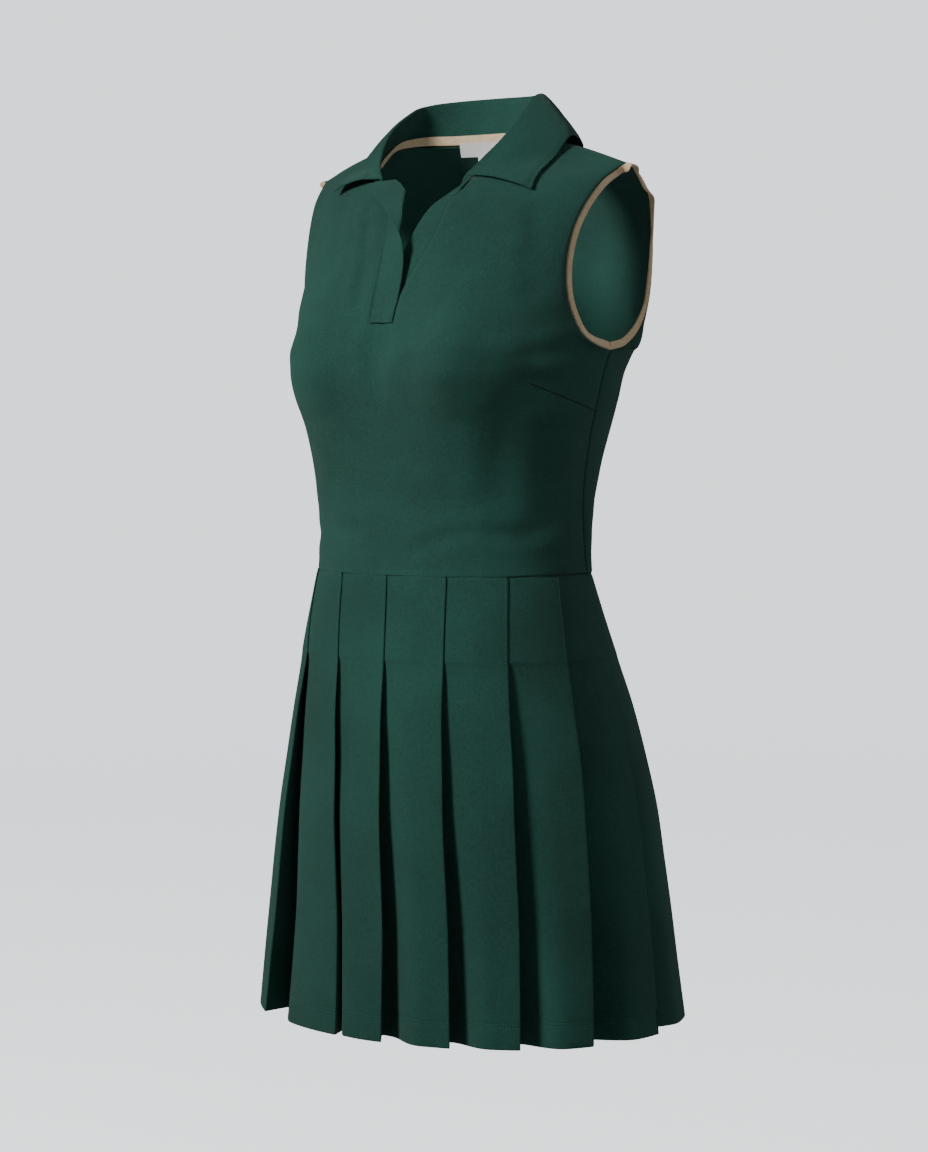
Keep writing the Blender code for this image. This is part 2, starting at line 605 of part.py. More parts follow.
def skirt_path(z, firsts, lasts):
    """The cloth's middle line at a height, from one fold to another."""
    angle, points, length = ring_at(z)
    down = np.clip((RELEASE_Z - z) / (RELEASE_Z - HEM_Z), 0, 1)
    folds = folds_at(z, angle, length)

    def place(s, inset):
        s = np.asarray(s, float)
        p = np.stack([np.interp(s, length, points[:, i]) for i in range(2)], -1)
        q = np.stack([np.interp(s + 0.001, length, points[:, i]) for i in range(2)], -1)
        r = np.stack([np.interp(s - 0.001, length, points[:, i]) for i in range(2)], -1)
        t = unit(q - r)
        n = np.stack([t[..., 1], -t[..., 0]], -1)
        return p - n * (SKIRT_CLOTH / 2 + np.asarray(inset))[..., None]

    line = []
    for i in range(firsts, lasts):
        depth, soon = depths[i]
        lift = math.asin(min(depth / under[i], 0.985)) * down**0.75
        back = under[i] * math.cos(lift)
        inward = under[i] * math.sin(lift)
        before = folds[i + 1] - folds[i]
        start = folds[i + 1]
        wide = folds[i + 2] - start
        slope = 2 * LAYER_STEP / before
        line.append(place(start, 0.0))
        line.append(place(start, LAYER_STEP))
        line.append(place(start - back, LAYER_STEP + slope * back + inward))
        under_it = np.linspace(0, back, 3)[:-1]
        seen = back + wide * np.linspace(0, 1, FACE_STEPS)[:-1]
        s = np.concatenate([under_it, seen])
        share = s / (back + wide)
        closed = np.where(
            s < back,
            2 * LAYER_STEP + slope * (back - s),
            2 * LAYER_STEP * (1 - (s - back) / wide),
        )
        rise = np.clip(1 - share / soon, 0, 1) ** 1.3
        ease = down**1.5
        inset = closed + inward * ((1 - share) * (1 - ease) + rise * ease)
        line.extend(place(start - back + s, inset))
    line.append(place(folds[lasts + 1], 0.0))
    return np.array(line)


def mitred(line, distance):
    """The line moved sideways, with its corners kept square."""
    ahead = unit(np.diff(line, axis=0))
    side = np.stack([ahead[:, 1], -ahead[:, 0]], 1)
    first = np.concatenate([side[:1], side])
    second = np.concatenate([side, side[-1:]])
    both = unit(first + second)
    length = np.clip((both * first).sum(1), 0.6, 1.0)
    return line + both * (distance / length)[:, None]


def skirt(name, firsts, lasts):
    outer = []
    inner = []
    for z in SKIRT_Z:
        line = skirt_path(z, firsts, lasts)
        ends = unit(line[1] - line[0]), unit(line[-1] - line[-2])
        line[-1] -= ends[1] * (SKIRT_CLOTH / 2 + SEAM_GAP + 0.0004)
        for shift, rows in ((SKIRT_CLOTH / 2, outer), (-SKIRT_CLOTH / 2, inner)):
            flat = mitred(line, shift)
            rows.append(np.concatenate([flat, np.full((len(flat), 1), z)], 1))
    outer = np.array(outer)
    inner = np.array(inner)
    keep = np.ones((outer.shape[0] - 1, outer.shape[1] - 1), bool)
    return body(name, outer, inner, keep, KNIT)


skirt("skirt_front", 0, FRONT_PLEATS)
skirt("skirt_back", FRONT_PLEATS, len(depths))
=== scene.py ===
import math

import bpy
import numpy as np
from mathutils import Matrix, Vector
from mathutils.bvhtree import BVHTree


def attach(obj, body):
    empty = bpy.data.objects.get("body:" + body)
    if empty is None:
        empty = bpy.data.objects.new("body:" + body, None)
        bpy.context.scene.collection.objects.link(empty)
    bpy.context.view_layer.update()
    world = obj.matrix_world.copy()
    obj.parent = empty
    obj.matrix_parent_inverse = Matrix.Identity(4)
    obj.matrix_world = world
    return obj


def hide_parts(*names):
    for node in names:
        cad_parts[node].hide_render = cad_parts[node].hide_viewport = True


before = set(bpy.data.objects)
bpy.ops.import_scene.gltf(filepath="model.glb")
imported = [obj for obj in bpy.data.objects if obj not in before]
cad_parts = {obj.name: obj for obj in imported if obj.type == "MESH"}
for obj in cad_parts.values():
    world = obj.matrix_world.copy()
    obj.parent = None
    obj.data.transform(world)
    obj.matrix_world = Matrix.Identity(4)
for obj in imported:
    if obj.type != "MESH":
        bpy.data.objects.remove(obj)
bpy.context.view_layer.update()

# The front of the bodice: one cut of smooth dark green sports knit, with a dart from
# each side seam to shape the bust and a slot left open down the middle for the placket.
# It lies on the solid of the same name, with the soft drag folds of worn cloth added.
CLOTH = 0.0011
HALF = 58
ROW_STEPS = 8
SEAM_GAP = 0.0003
# How far in from a seam the cloth rolls, and how deep
TURN_UNDER = (0.0011, 0.0010)
NECK_SIDE = (0.0750, -0.0040, 0.0160)
SHOULDER_RISE = 0.0050
SHOULDER_TIP = (0.1780, 0.0110, -0.0120)
BUST_RISE = 0.0400
BUST_X = 0.0880
BUST_Z = -0.2000
BUST_SPREAD = (0.0480, 0.0450, 0.0600)
SQUARENESS = 2.3
# inner z, outer z, outer x, outer y, middle y, turn in degrees, right x, left x
FRONT_ROWS = (
    (-0.3930, -0.3930, 0.1425, -0.0030, -0.1220, 90, 0.0118, 0.0118),
    (-0.3690, -0.3690, 0.1410, -0.0042, -0.1200, 90, 0.0118, 0.0118),
    (-0.3440, -0.3440, 0.1400, -0.0050, -0.1215, 90, 0.0118, 0.0118),
    (-0.3160, -0.3160, 0.1410, -0.0058, -0.1240, 90, 0.0118, 0.0118),
    (-0.2880, -0.2880, 0.1440, -0.0053, -0.1265, 90, 0.0118, 0.0118),
    (-0.2600, -0.2600, 0.1485, -0.0042, -0.1280, 90, 0.0118, 0.0118),
    (-0.2340, -0.2340, 0.1540, -0.0028, -0.1280, 90, 0.0118, 0.0118),
    (-0.2100, -0.2090, 0.1600, -0.0018, -0.1265, 90, 0.0118, 0.0118),
    (-0.1900, -0.1862, 0.1668, -0.0006, -0.1235, 90, 0.0118, 0.0118),
    (-0.1760, -0.1815, 0.1655, -0.0200, -0.1210, 88, 0.0118, 0.0118),
    (-0.1600, -0.1710, 0.1605, -0.0370, -0.1185, 83, 0.0118, 0.0118),
    (-0.1370, -0.1480, 0.1550, -0.0483, -0.1155, 76, 0.0118, 0.0165),
    (-0.1120, -0.1250, 0.1525, -0.0512, -0.1115, 70, 0.0118, 0.0265),
    (-0.0880, -0.1000, 0.1530, -0.0503, -0.1065, 64, 0.0118, 0.0380),
    (-0.0660, -0.0760, 0.1555, -0.0445, -0.1005, 58, 0.0118, 0.0450),
    (-0.0500, -0.0560, 0.1595, -0.0350, -0.0945, 54, 0.0118, 0.0475),
    (-0.0400, -0.0400, 0.1640, -0.0240, -0.0860, 50, 0.0380, 0.0520),
    (-0.0240, -0.0280, 0.1680, -0.0130, -0.0745, 46, 0.0600, 0.0600),
    (-0.0060, -0.0190, 0.1730, 0.0000, -0.0480, 44, 0.0705, 0.0705),
)
SIDE_ROWS = 9
SLOT_ROW = 10
# Soft folds of the worn front: places as x, z, then half width and depth
FRONT_FOLDS = (
    (((-0.046, -0.052), (-0.039, -0.077), (-0.033, -0.104), (-0.031, -0.140)), 0.0060, 0.0014),
    (((-0.084, -0.050), (-0.079, -0.080), (-0.073, -0.108)), 0.0070, 0.0010),
    (((0.139, -0.216), (0.125, -0.250), (0.112, -0.284), (0.105, -0.316)), 0.0120, 0.0017),
    (((0.142, -0.262), (0.135, -0.308), (0.131, -0.345)), 0.0090, 0.0013),
    (((0.163, -0.183), (0.154, -0.187), (0.140, -0.190)), 0.0080, 0.0012),
    (((0.062, -0.048), (0.087, -0.062), (0.110, -0.080)), 0.0080, 0.0012),
    (((0.128, -0.060), (0.132, -0.095), (0.136, -0.130)), 0.0080, 0.0010),
    (((-0.134, -0.222), (-0.118, -0.258), (-0.104, -0.300)), 0.0130, 0.0015),
    (((-0.160, -0.186), (-0.148, -0.194), (-0.134, -0.196)), 0.0080, 0.0012),
    (((-0.126, -0.062), (-0.131, -0.100), (-0.137, -0.132)), 0.0080, 0.0010),
    (((-0.125, -0.362), (-0.085, -0.350), (-0.040, -0.353)), 0.0070, 0.0009),
    (((0.030, -0.368), (0.078, -0.353), (0.120, -0.357)), 0.0070, 0.0010),
    (((-0.062, -0.310), (0.016, -0.322), (0.078, -0.330)), 0.0130, 0.0008),
    (((-0.030, -0.240), (0.000, -0.262), (0.026, -0.290)), 0.0130, 0.0008),
    (((0.058, -0.160), (0.034, -0.172), (0.010, -0.176)), 0.0100, 0.0008),
)
GREEN = (0.0108, 0.0760, 0.0570)
GREEN_DEEP = (0.0062, 0.0500, 0.0375)


def curve_at(xs, ys, at, last=None):
    """A smooth curve through the points (xs, ys), read at the places given."""
    xs = np.asarray(xs, float)
    ys = np.asarray(ys, float)
    at = np.clip(np.asarray(at, float), xs[0], xs[-1])
    flat = ys.ndim == 1
    if flat:
        ys = ys[:, None]
    step = np.diff(xs)[:, None]
    rise = np.diff(ys, axis=0) / step
    slope = np.zeros_like(ys)
    slope[1:-1] = (rise[1:] * step[:-1] + rise[:-1] * step[1:]) / (step[1:] + step[:-1])
    slope[0] = rise[0]
    slope[-1] = rise[-1] if last is None else last
    i = np.clip(np.searchsorted(xs, at, side="right") - 1, 0, len(xs) - 2)
    h = step[i]
    t = ((at - xs[i]) / h[:, 0])[:, None]
    out = (1 + 2 * t) * (1 - t) ** 2 * ys[i] + t * (1 - t) ** 2 * h * slope[i]
    out += t * t * (3 - 2 * t) * ys[i + 1] + t * t * (t - 1) * h * slope[i + 1]
    return out[:, 0] if flat else out


def unit(v):
    return v / np.maximum(np.linalg.norm(v, axis=-1, keepdims=True), 1e-12)


def smooth_step(v, low, high):
    t = np.clip((np.asarray(v, float) - low) / (high - low), 0, 1)
    return t * t * (3 - 2 * t)


def bust(x, z, share):
    """How far the front stands out over the bust, faded out at the side."""
    low = np.where(z < BUST_Z, BUST_SPREAD[1], BUST_SPREAD[2])
    across = np.exp(-((np.abs(x) - BUST_X) ** 2) / (2 * BUST_SPREAD[0] ** 2))
    along = np.exp(-((z - BUST_Z) ** 2) / (2 * low**2))
    return BUST_RISE * across * along * (1 - share**4)


# Columns lie closer together near the seams, where the cloth turns under
SEAM_SHARES = (0.978, 0.987, 0.993, 0.997, 0.9986, 1.0)
COLUMN_SHARES = np.concatenate([np.linspace(0, 0.965, HALF - 5), SEAM_SHARES])


def arc_row(start_x, z0, z1, x1, y1, middle_y, turn):
    """One half row from start_x out to (x1, y1), as x, y, z and the share."""
    power = 2 / SQUARENESS
    turn = math.radians(turn)
    first = math.asin(math.sin(turn) * (start_x / x1) ** (1 / power)) if start_x > 0 else 0.0
    phi = first + (turn - first) * COLUMN_SHARES
    x = x1 * (np.sin(phi) / math.sin(turn)) ** power
    drop = 1 - np.abs(np.cos(phi)) ** power
    y = middle_y + (y1 - middle_y) * drop / (1 - abs(math.cos(turn)) ** power)
    z = z0 + (z1 - z0) * (x - x[0]) / (x[-1] - x[0])
    return x, y, z, COLUMN_SHARES


def row_places(count):
    """Where the fine rows lie between the table's rows, closer at the lower seam."""
    even = np.linspace(0, count - 1, (count - 1) * ROW_STEPS + 1)
    return np.unique(np.concatenate([even, (0.02, 0.05, 0.09, 0.17)]))


def more_rows(grid, corner):
    """Smooth rows between the table's rows, with the underarm corner kept sharp."""
    rows = np.arange(len(grid))
    fine = row_places(len(grid))
    flat = grid.reshape(len(grid), -1)
    whole = curve_at(rows, flat, fine).reshape(len(fine), -1, 3)
    low = curve_at(rows[: corner + 1], flat[: corner + 1], fine[fine <= corner])
    rise = grid[-1] - grid[-2]
    over = rise * (0.1, 1, 0.1)
    over *= np.linalg.norm(rise, axis=1, keepdims=True) / np.linalg.norm(over, axis=1, keepdims=True)
    high = curve_at(rows[corner:], flat[corner:], fine[fine > corner], over.reshape(-1))
    parts = np.concatenate([low, high]).reshape(len(fine), -1, 3)
    share = np.abs(np.linspace(-1, 1, grid.shape[1]))
    weight = smooth_step(share, 0.86, 1.0)[None, :, None]
    return whole * (1 - weight) + parts * weight


def ironed(grid, times, most):
    """Evens the depth of a grid away from its edges, without moving its outline."""
    y = grid[:, :, 1].copy()
    for _ in range(times):
        y[1:-1, 1:-1] = (y[:-2, 1:-1] + y[2:, 1:-1] + y[1:-1, :-2] + y[1:-1, 2:]) / 4
    out = grid.copy()
    out[:, :, 1] += np.clip(y - grid[:, :, 1], -most, most)
    return out


def grid_normals(points, keep):
    """Normals at the points of a grid, from its kept cells only."""
    cell = np.cross(points[1:, 1:] - points[:-1, :-1], points[1:, :-1] - points[:-1, 1:])
    cell = cell * keep[..., None]
    normal = np.zeros_like(points)
    normal[:-1, :-1] += cell
    normal[:-1, 1:] += cell
    normal[1:, 1:] += cell
    normal[1:, :-1] += cell
    return unit(normal)


def soft_folds(across, up, folds):
    """Depth of a set of soft troughs, each with a low ridge on either side."""
    depth = np.zeros_like(across)
    for path, width, deep in folds:
        nearest = np.full(across.shape, 9.0)
        for (x0, z0), (x1, z1) in zip(path[:-1], path[1:]):
            run = (x1 - x0) ** 2 + (z1 - z0) ** 2
            t = np.clip(((across - x0) * (x1 - x0) + (up - z0) * (z1 - z0)) / run, 0, 1)
            away = np.hypot(across - x0 - t * (x1 - x0), up - z0 - t * (z1 - z0))
            nearest = np.minimum(nearest, away)
        q = nearest / width
        depth += deep * (np.exp(-(q**2)) - 0.55 * np.exp(-((q - 1.9) ** 2)))
    return depth


def cloth_wall(name, outer, inner, keep, mat, ring=False):
    """A closed wall of cloth between two grids, with its own UV map in metres."""
    rows, columns = outer.shape[:2]
    count = rows * columns
    index = np.arange(count).reshape(rows, columns)
    faces = []
    edges = {}
    for i in range(rows - 1):
        for j in range(columns if ring else columns - 1):
            if not keep[i, j]:
                continue
            k = (j + 1) % columns
            quad = (int(index[i, j]), int(index[i, k]), int(index[i + 1, k]), int(index[i + 1, j]))
            faces.append(quad)
            faces.append(tuple(q + count for q in reversed(quad)))
            for s in range(4):
                p, q = quad[s], quad[(s + 1) % 4]
                if (q, p) in edges:
                    del edges[(q, p)]
                else:
                    edges[(p, q)] = True
    for p, q in edges:
        faces.append((q, p, p + count, q + count))
    across = np.zeros((rows, columns))
    across[:, 1:] = np.cumsum(np.linalg.norm(np.diff(outer, axis=1), axis=2), axis=1)
    across -= across[:, columns // 2][:, None]
    up = np.zeros((rows, columns))
    up[1:] = np.cumsum(np.linalg.norm(np.diff(outer, axis=0), axis=2), axis=0)
    flat = np.stack([across, up], 2).reshape(-1, 2)
    return cloth_mesh(name, np.concatenate([outer.reshape(-1, 3), inner.reshape(-1, 3)]), faces,
                      np.concatenate([flat, flat]), mat)


def cloth_mesh(name, points, faces, flat, mat):
    used = sorted({v for face in faces for v in face})
    place = {v: n for n, v in enumerate(used)}
    faces = [[place[v] for v in face] for face in faces]
    mesh = bpy.data.meshes.new(name)
    mesh.from_pydata(points[used].tolist(), [], faces)
    mesh.update()
    co = points[used]
    volume = 0.0
    for face in faces:
        for s in range(1, len(face) - 1):
            volume += float(np.dot(co[face[0]], np.cross(co[face[s]], co[face[s + 1]])))
    if volume < 0:
        mesh.flip_normals()
    corner = np.zeros(len(mesh.loops), int)
    mesh.loops.foreach_get("vertex_index", corner)
    layer = mesh.uv_layers.new(name="cloth")
    layer.data.foreach_set("uv", flat[used][corner].astype(np.float32).ravel())
    mesh.polygons.foreach_set("use_smooth", [True] * len(mesh.polygons))
    mesh.materials.append(mat)
    mesh.update()
    obj = bpy.data.objects.new(name, mesh)
    bpy.context.scene.collection.objects.link(obj)
    return obj


def wire(tree, kind, settings=(), **inputs):
    """A node with its settings, its values, and its links from other nodes' sockets."""
    node = tree.nodes.new(kind)
    for key, value in dict(settings).items():
        setattr(node, key, value)
    for key, value in inputs.items():
        socket = node.inputs[int(key[1:])] if key[1:].isdigit() else node.inputs[key.replace("_", " ")]
        if isinstance(value, bpy.types.NodeSocket):
            tree.links.new(value, socket)
        else:
            socket.default_value = value
    return node


def maths(tree, operation, *values):
    """The result of a math node, from numbers or from other nodes' sockets."""
    given = {"_" + str(i): value for i, value in enumerate(values)}
    return wire(tree, "ShaderNodeMath", {"operation": operation}, **given).outputs[0]


def new_material(name):
    mat = bpy.data.materials.new(name)
    mat.use_nodes = True
    return mat, mat.node_tree, mat.node_tree.nodes["Principled BSDF"]


# The dart runs from the side seam at the first depth to its point at the second; its
# height there falls by the rise, and it bows down a little between the two
DART_Y = (-0.0030, -0.0893)
DART_TIP_Y = -0.0840
DART_Z = -0.2431
DART_RISE = 0.0268
DART_BOW = -0.0072
DART_EDGE = (0.0002, 0.0013)
# DART_SHADE is the colour of the painted shade laid along the dart's crease
DART_SHADE = (0.002, 0.010, 0.007)


def dart_line(tree, place, base, bump):
    """The dart's sewn line, a narrow sunk crease read from the depth and the height, with painted shade
    darkening the colour along it.
    """
    spot = wire(tree, "ShaderNodeSeparateXYZ", _0=place.outputs["Object"])
    along = wire(tree, "ShaderNodeMapRange", Value=spot.outputs[1], From_Min=DART_Y[0], From_Max=DART_Y[1])
    rest = maths(tree, "SUBTRACT", 1.0, along.outputs[0])
    bow = maths(tree, "MULTIPLY", rest, along.outputs[0])
    line = maths(tree, "MULTIPLY_ADD", along.outputs[0], DART_RISE, DART_Z)
    line = maths(tree, "MULTIPLY_ADD", bow, DART_BOW, line)
    away = maths(tree, "ABSOLUTE", maths(tree, "SUBTRACT", spot.outputs[2], line))
    near = wire(tree, "ShaderNodeMapRange", {"interpolation_type": "SMOOTHSTEP"}, Value=away,
                From_Min=DART_EDGE[0], From_Max=DART_EDGE[1], To_Min=1.0, To_Max=0.0)
    ends = wire(tree, "ShaderNodeMapRange", Value=spot.outputs[1], From_Min=DART_Y[1], From_Max=DART_TIP_Y)
    crease = maths(tree, "MULTIPLY", near.outputs[0], ends.outputs[0])
    dip = wire(tree, "ShaderNodeBump", {"invert": True}, Strength=0.8, Distance=0.0009,
               Height=crease, Normal=bump.outputs[0])
    # Painted shade: the knit's colour is darkened along the dart's crease
    shade = maths(tree, "MULTIPLY", crease, 0.75)
    dark = wire(tree, "ShaderNodeMix", {"data_type": "RGBA"}, Factor=shade, _6=base, _7=(*DART_SHADE, 1))
    return dark.outputs[2], dip


def knit(name, light, deep, wale, course, relief, roughness, dart=False):
    """Fine jersey: rows of tiny loops, a faint mottling and a soft sheen."""
    mat, tree, shader = new_material(name)
    place = wire(tree, "ShaderNodeTexCoord")
    split = wire(tree, "ShaderNodeSeparateXYZ", _0=place.outputs["UV"])
    column = maths(tree, "MULTIPLY", split.outputs[0], math.pi / wale)
    lean = maths(tree, "ABSOLUTE", maths(tree, "SINE", column))
    shift = maths(tree, "MULTIPLY", lean, 1.6)
    row = maths(tree, "MULTIPLY_ADD", split.outputs[1], 2 * math.pi / course, shift)
    height = maths(tree, "MULTIPLY_ADD", maths(tree, "SINE", row), 0.35, lean)
    fuzz = wire(tree, "ShaderNodeTexNoise", Vector=place.outputs["Object"], Scale=900.0, Detail=3.0)
    rough_cloth = maths(tree, "MULTIPLY_ADD", fuzz.outputs["Fac"], 0.9, height)
    bump = wire(tree, "ShaderNodeBump", Strength=relief, Distance=0.0003, Height=rough_cloth)
    broad = wire(tree, "ShaderNodeTexNoise", Vector=place.outputs["Object"], Scale=9.0, Detail=4.0)
    grain = wire(tree, "ShaderNodeTexNoise", Vector=place.outputs["Object"], Scale=420.0, Detail=2.0)
    both = maths(tree, "MULTIPLY_ADD", grain.outputs["Fac"], 0.7, broad.outputs["Fac"])
    level = wire(tree, "ShaderNodeMapRange", Value=both, From_Min=0.66, From_Max=1.04)
    colour = wire(tree, "ShaderNodeMix", {"data_type": "RGBA"}, Factor=level.outputs[0],
                  _6=(*deep, 1), _7=(*light, 1))
    base = colour.outputs[2]
    # The front's knit also carries the dart's crease, with its painted shade
    if dart:
        base, bump = dart_line(tree, place, base, bump)
    tree.links.new(base, shader.inputs["Base Color"])
    tree.links.new(bump.outputs[0], shader.inputs["Normal"])
    shader.inputs["Roughness"].default_value = roughness
    shader.inputs["Specular IOR Level"].default_value = 0.30
    shader.inputs["Sheen Weight"].default_value = 0.10
    shader.inputs["Sheen Roughness"].default_value = 0.45
    shader.inputs["Sheen Tint"].default_value = (0.55, 0.85, 0.75, 1)
    return mat


def front_table(slot):
    rows = []
    for z0, z1, x1, y1, middle_y, turn, right, left in FRONT_ROWS:
        halves = []
        for start in (right, left):
            start = start if slot else 0.0
            x, y, z, share = arc_row(start, z0, z1, x1, y1, middle_y, turn)
            if turn == 90:
                y[-1] -= SEAM_GAP
            halves.append((x, y - bust(x, z, share), z))
        middle = (0.0, middle_y - float(bust(0.0, z0, 0.0)), z0)
        right_half = np.stack([-halves[0][0], halves[0][1], halves[0][2]], 1)[::-1]
        rows.append(np.concatenate([right_half, [middle], np.stack(halves[1], 1)]))
    side = np.array(NECK_SIDE) - (0, SEAM_GAP + 0.0002, 0)
    tip = np.array(SHOULDER_TIP) - (0, SEAM_GAP + 0.0002, 0)
    top = side + (tip - side) * COLUMN_SHARES[:, None]
    top[:, 2] += SHOULDER_RISE * np.sin(np.pi * COLUMN_SHARES)
    rows.append(np.concatenate([top[::-1] * (-1, 1, 1), [(0, side[1], side[2])], top]))
    return np.array(rows)


def turned_under(grid, normal, reach, depth):
    """The cloth rolls in towards its seams at the sides, the shoulders and the waist."""
    side = np.cumsum(np.linalg.norm(np.diff(grid, axis=1), axis=2), axis=1)
    side = np.concatenate([np.zeros((len(grid), 1)), side], 1)
    side = np.minimum(side, side[:, -1:] - side)
    rise = np.cumsum(np.linalg.norm(np.diff(grid, axis=0), axis=2), axis=0)
    rise = np.concatenate([np.zeros((1, grid.shape[1])), rise], 0)
    rise = np.minimum(rise, rise[-1:] - rise)
    return grid - normal * (depth * np.exp(-np.minimum(side, rise) / reach))[..., None]


def faced(normal, corner):
    """Side seam edges are offset straight outwards, so that the two pieces meet."""
    for j in (0, -1):
        normal[: corner + 1, j, 1:] = 0.0
    return unit(normal)


def eased_underarm(grid):
    """Evens the cloth below and in front of the underarm, where it would show a ridge."""
    work = grid.copy()
    for _ in range(170):
        work[1:-1, 1:-1] = (work[:-2, 1:-1] + work[2:, 1:-1] + work[1:-1, :-2] + work[1:-1, 2:]) / 4
    share = np.abs(np.linspace(-1, 1, grid.shape[1]))
    across = smooth_step(share, 0.30, 0.62) * (1 - smooth_step(share, 0.88, 1.0))
    weight = np.exp(-(((grid[..., 2] + 0.180) / 0.034) ** 2)) * across[None, :]
    move = np.clip(work - grid, -0.010, 0.010)
    return grid + move * weight[..., None]


front_places = row_places(len(FRONT_ROWS) + 1)
corner_row = int(np.searchsorted(front_places, SIDE_ROWS - 1))
slot_row = int(np.searchsorted(front_places, SLOT_ROW))
plain = eased_underarm(ironed(more_rows(front_table(False), SIDE_ROWS - 1), 90, 0.004))
front = eased_underarm(ironed(more_rows(front_table(True), SIDE_ROWS - 1), 90, 0.004))
front_keep = np.ones((front.shape[0] - 1, front.shape[1] - 1), bool)
front_keep[slot_row:, HALF : HALF + 2] = False
plain_keep = np.ones_like(front_keep)
for grid, keep in ((plain, plain_keep), (front, front_keep)):
    normal = grid_normals(grid, keep)
    if normal[3, HALF][1] > 0:
        normal = -normal
    edge = smooth_step(1 - np.abs(np.linspace(-1, 1, grid.shape[1])), 0.0, 0.10)[None, :, None]
    grid -= normal * (soft_folds(grid[..., 0], grid[..., 2], FRONT_FOLDS)[..., None] * edge)
front_normal = grid_normals(front, front_keep)
if front_normal[3, HALF][1] > 0:
    front_normal = -front_normal
front_normal = faced(front_normal, corner_row)
front_skin = turned_under(front, front_normal, *TURN_UNDER)
FRONT_KNIT = knit("green_knit_front", GREEN, GREEN_DEEP, 0.00095, 0.00080, 0.80, 0.76, dart=True)
front_inside = front_skin - front_normal * CLOTH
front_bodice = cloth_wall("bodice_front", front_skin, front_inside, front_keep, FRONT_KNIT)
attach(front_bodice, "root")
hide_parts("front_bodice")

# The back of the bodice: one plain cut of the same knit, joined to the front at the
# side seams and shoulders. It falls close at the shoulder blades and hollow at the waist.
BACK_ROWS = (
    (-0.3930, -0.3930, 0.1425, -0.0030, 0.0480, 90),
    (-0.3690, -0.3690, 0.1410, -0.0042, 0.0480, 90),
    (-0.3440, -0.3440, 0.1400, -0.0050, 0.0600, 90),
    (-0.3160, -0.3160, 0.1410, -0.0058, 0.0760, 90),
    (-0.2880, -0.2880, 0.1440, -0.0053, 0.0880, 90),
    (-0.2600, -0.2600, 0.1485, -0.0042, 0.1010, 90),
    (-0.2340, -0.2340, 0.1540, -0.0028, 0.1110, 90),
    (-0.2100, -0.2090, 0.1600, -0.0018, 0.1200, 90),
    (-0.1900, -0.1862, 0.1668, -0.0006, 0.1255, 90),
    (-0.1780, -0.1810, 0.1665, 0.0260, 0.1265, 88),
    (-0.1600, -0.1660, 0.1655, 0.0500, 0.1275, 82),
    (-0.1350, -0.1440, 0.1640, 0.0670, 0.1270, 72),
    (-0.1100, -0.1205, 0.1635, 0.0745, 0.1240, 66),
    (-0.0850, -0.0940, 0.1640, 0.0770, 0.1190, 60),
    (-0.0600, -0.0673, 0.1650, 0.0745, 0.1110, 54),
    (-0.0350, -0.0400, 0.1680, 0.0650, 0.0980, 48),
    (-0.0120, -0.0240, 0.1710, 0.0480, 0.0820, 42),
    (0.0060, -0.0160, 0.1740, 0.0300, 0.0640, 38),
)
NECK_BACK = (0.0450, 0.0180)
BACK_FOLDS = (
    (((-0.120, -0.372), (-0.060, -0.360), (0.010, -0.366)), 0.0080, 0.0014),
    (((0.120, -0.352), (0.070, -0.340), (0.010, -0.344)), 0.0085, 0.0015),
    (((-0.118, -0.330), (-0.070, -0.318), (-0.020, -0.322)), 0.0085, 0.0012),
    (((0.108, -0.306), (0.060, -0.300), (0.024, -0.306)), 0.0090, 0.0009),
    (((-0.154, -0.190), (-0.128, -0.215), (-0.104, -0.250)), 0.0100, 0.0014),
    (((0.156, -0.192), (0.132, -0.220), (0.110, -0.262)), 0.0100, 0.0013),
    (((-0.040, -0.020), (-0.052, -0.055), (-0.058, -0.100)), 0.0100, 0.0010),
    (((0.044, -0.022), (0.050, -0.060), (0.052, -0.094)), 0.0100, 0.0010),
    (((-0.126, -0.070), (-0.122, -0.110), (-0.126, -0.150)), 0.0090, 0.0010),
    (((0.128, -0.066), (0.124, -0.104), (0.130, -0.146)), 0.0090, 0.0010),
    (((0.000, -0.160), (0.004, -0.220), (-0.002, -0.280)), 0.0140, 0.0009),
)
rows = []
for z0, z1, x1, y1, middle_y, turn in BACK_ROWS:
    x, y, z, share = arc_row(0.0, z0, z1, x1, y1, middle_y, turn)
    if turn == 90:
        y[-1] += SEAM_GAP
    half = np.stack([x, y, z], 1)
    rows.append(np.concatenate([half[:0:-1] * (-1, 1, 1), half]))
neck_columns = HALF // 2
half = []
for k in range(HALF + 1):
    if k <= neck_columns:
        q = k / neck_columns * math.pi / 2
        x = NECK_SIDE[0] * math.sin(q)
        y = NECK_BACK[0] - (NECK_BACK[0] - NECK_SIDE[1]) * (1 - math.cos(q))
        z = NECK_BACK[1] - (NECK_BACK[1] - NECK_SIDE[2]) * (x / NECK_SIDE[0]) ** 2
    else:
        q = (COLUMN_SHARES[k] - COLUMN_SHARES[neck_columns]) / (1 - COLUMN_SHARES[neck_columns])
        x, y, z = [NECK_SIDE[i] + (SHOULDER_TIP[i] - NECK_SIDE[i]) * q for i in range(3)]
        z += SHOULDER_RISE * math.sin(math.pi * q)
    half.append((x, y + SEAM_GAP + 0.0002, z))
half = np.array(half)
rows.append(np.concatenate([half[:0:-1] * (-1, 1, 1), half]))
back = ironed(more_rows(np.array(rows), SIDE_ROWS - 1), 60, 0.004)
back_keep = np.ones((back.shape[0] - 1, back.shape[1] - 1), bool)
normal = grid_normals(back, back_keep)
normal = -normal if normal[3, HALF][1] < 0 else normal
edge = smooth_step(1 - np.abs(np.linspace(-1, 1, back.shape[1])), 0.0, 0.10)[None, :, None]
back -= normal * (soft_folds(back[..., 0], back[..., 2], BACK_FOLDS)[..., None] * edge)
back_normal = grid_normals(back, back_keep)
back_normal = -back_normal if back_normal[3, HALF][1] < 0 else back_normal
back_normal = faced(back_normal, corner_row)
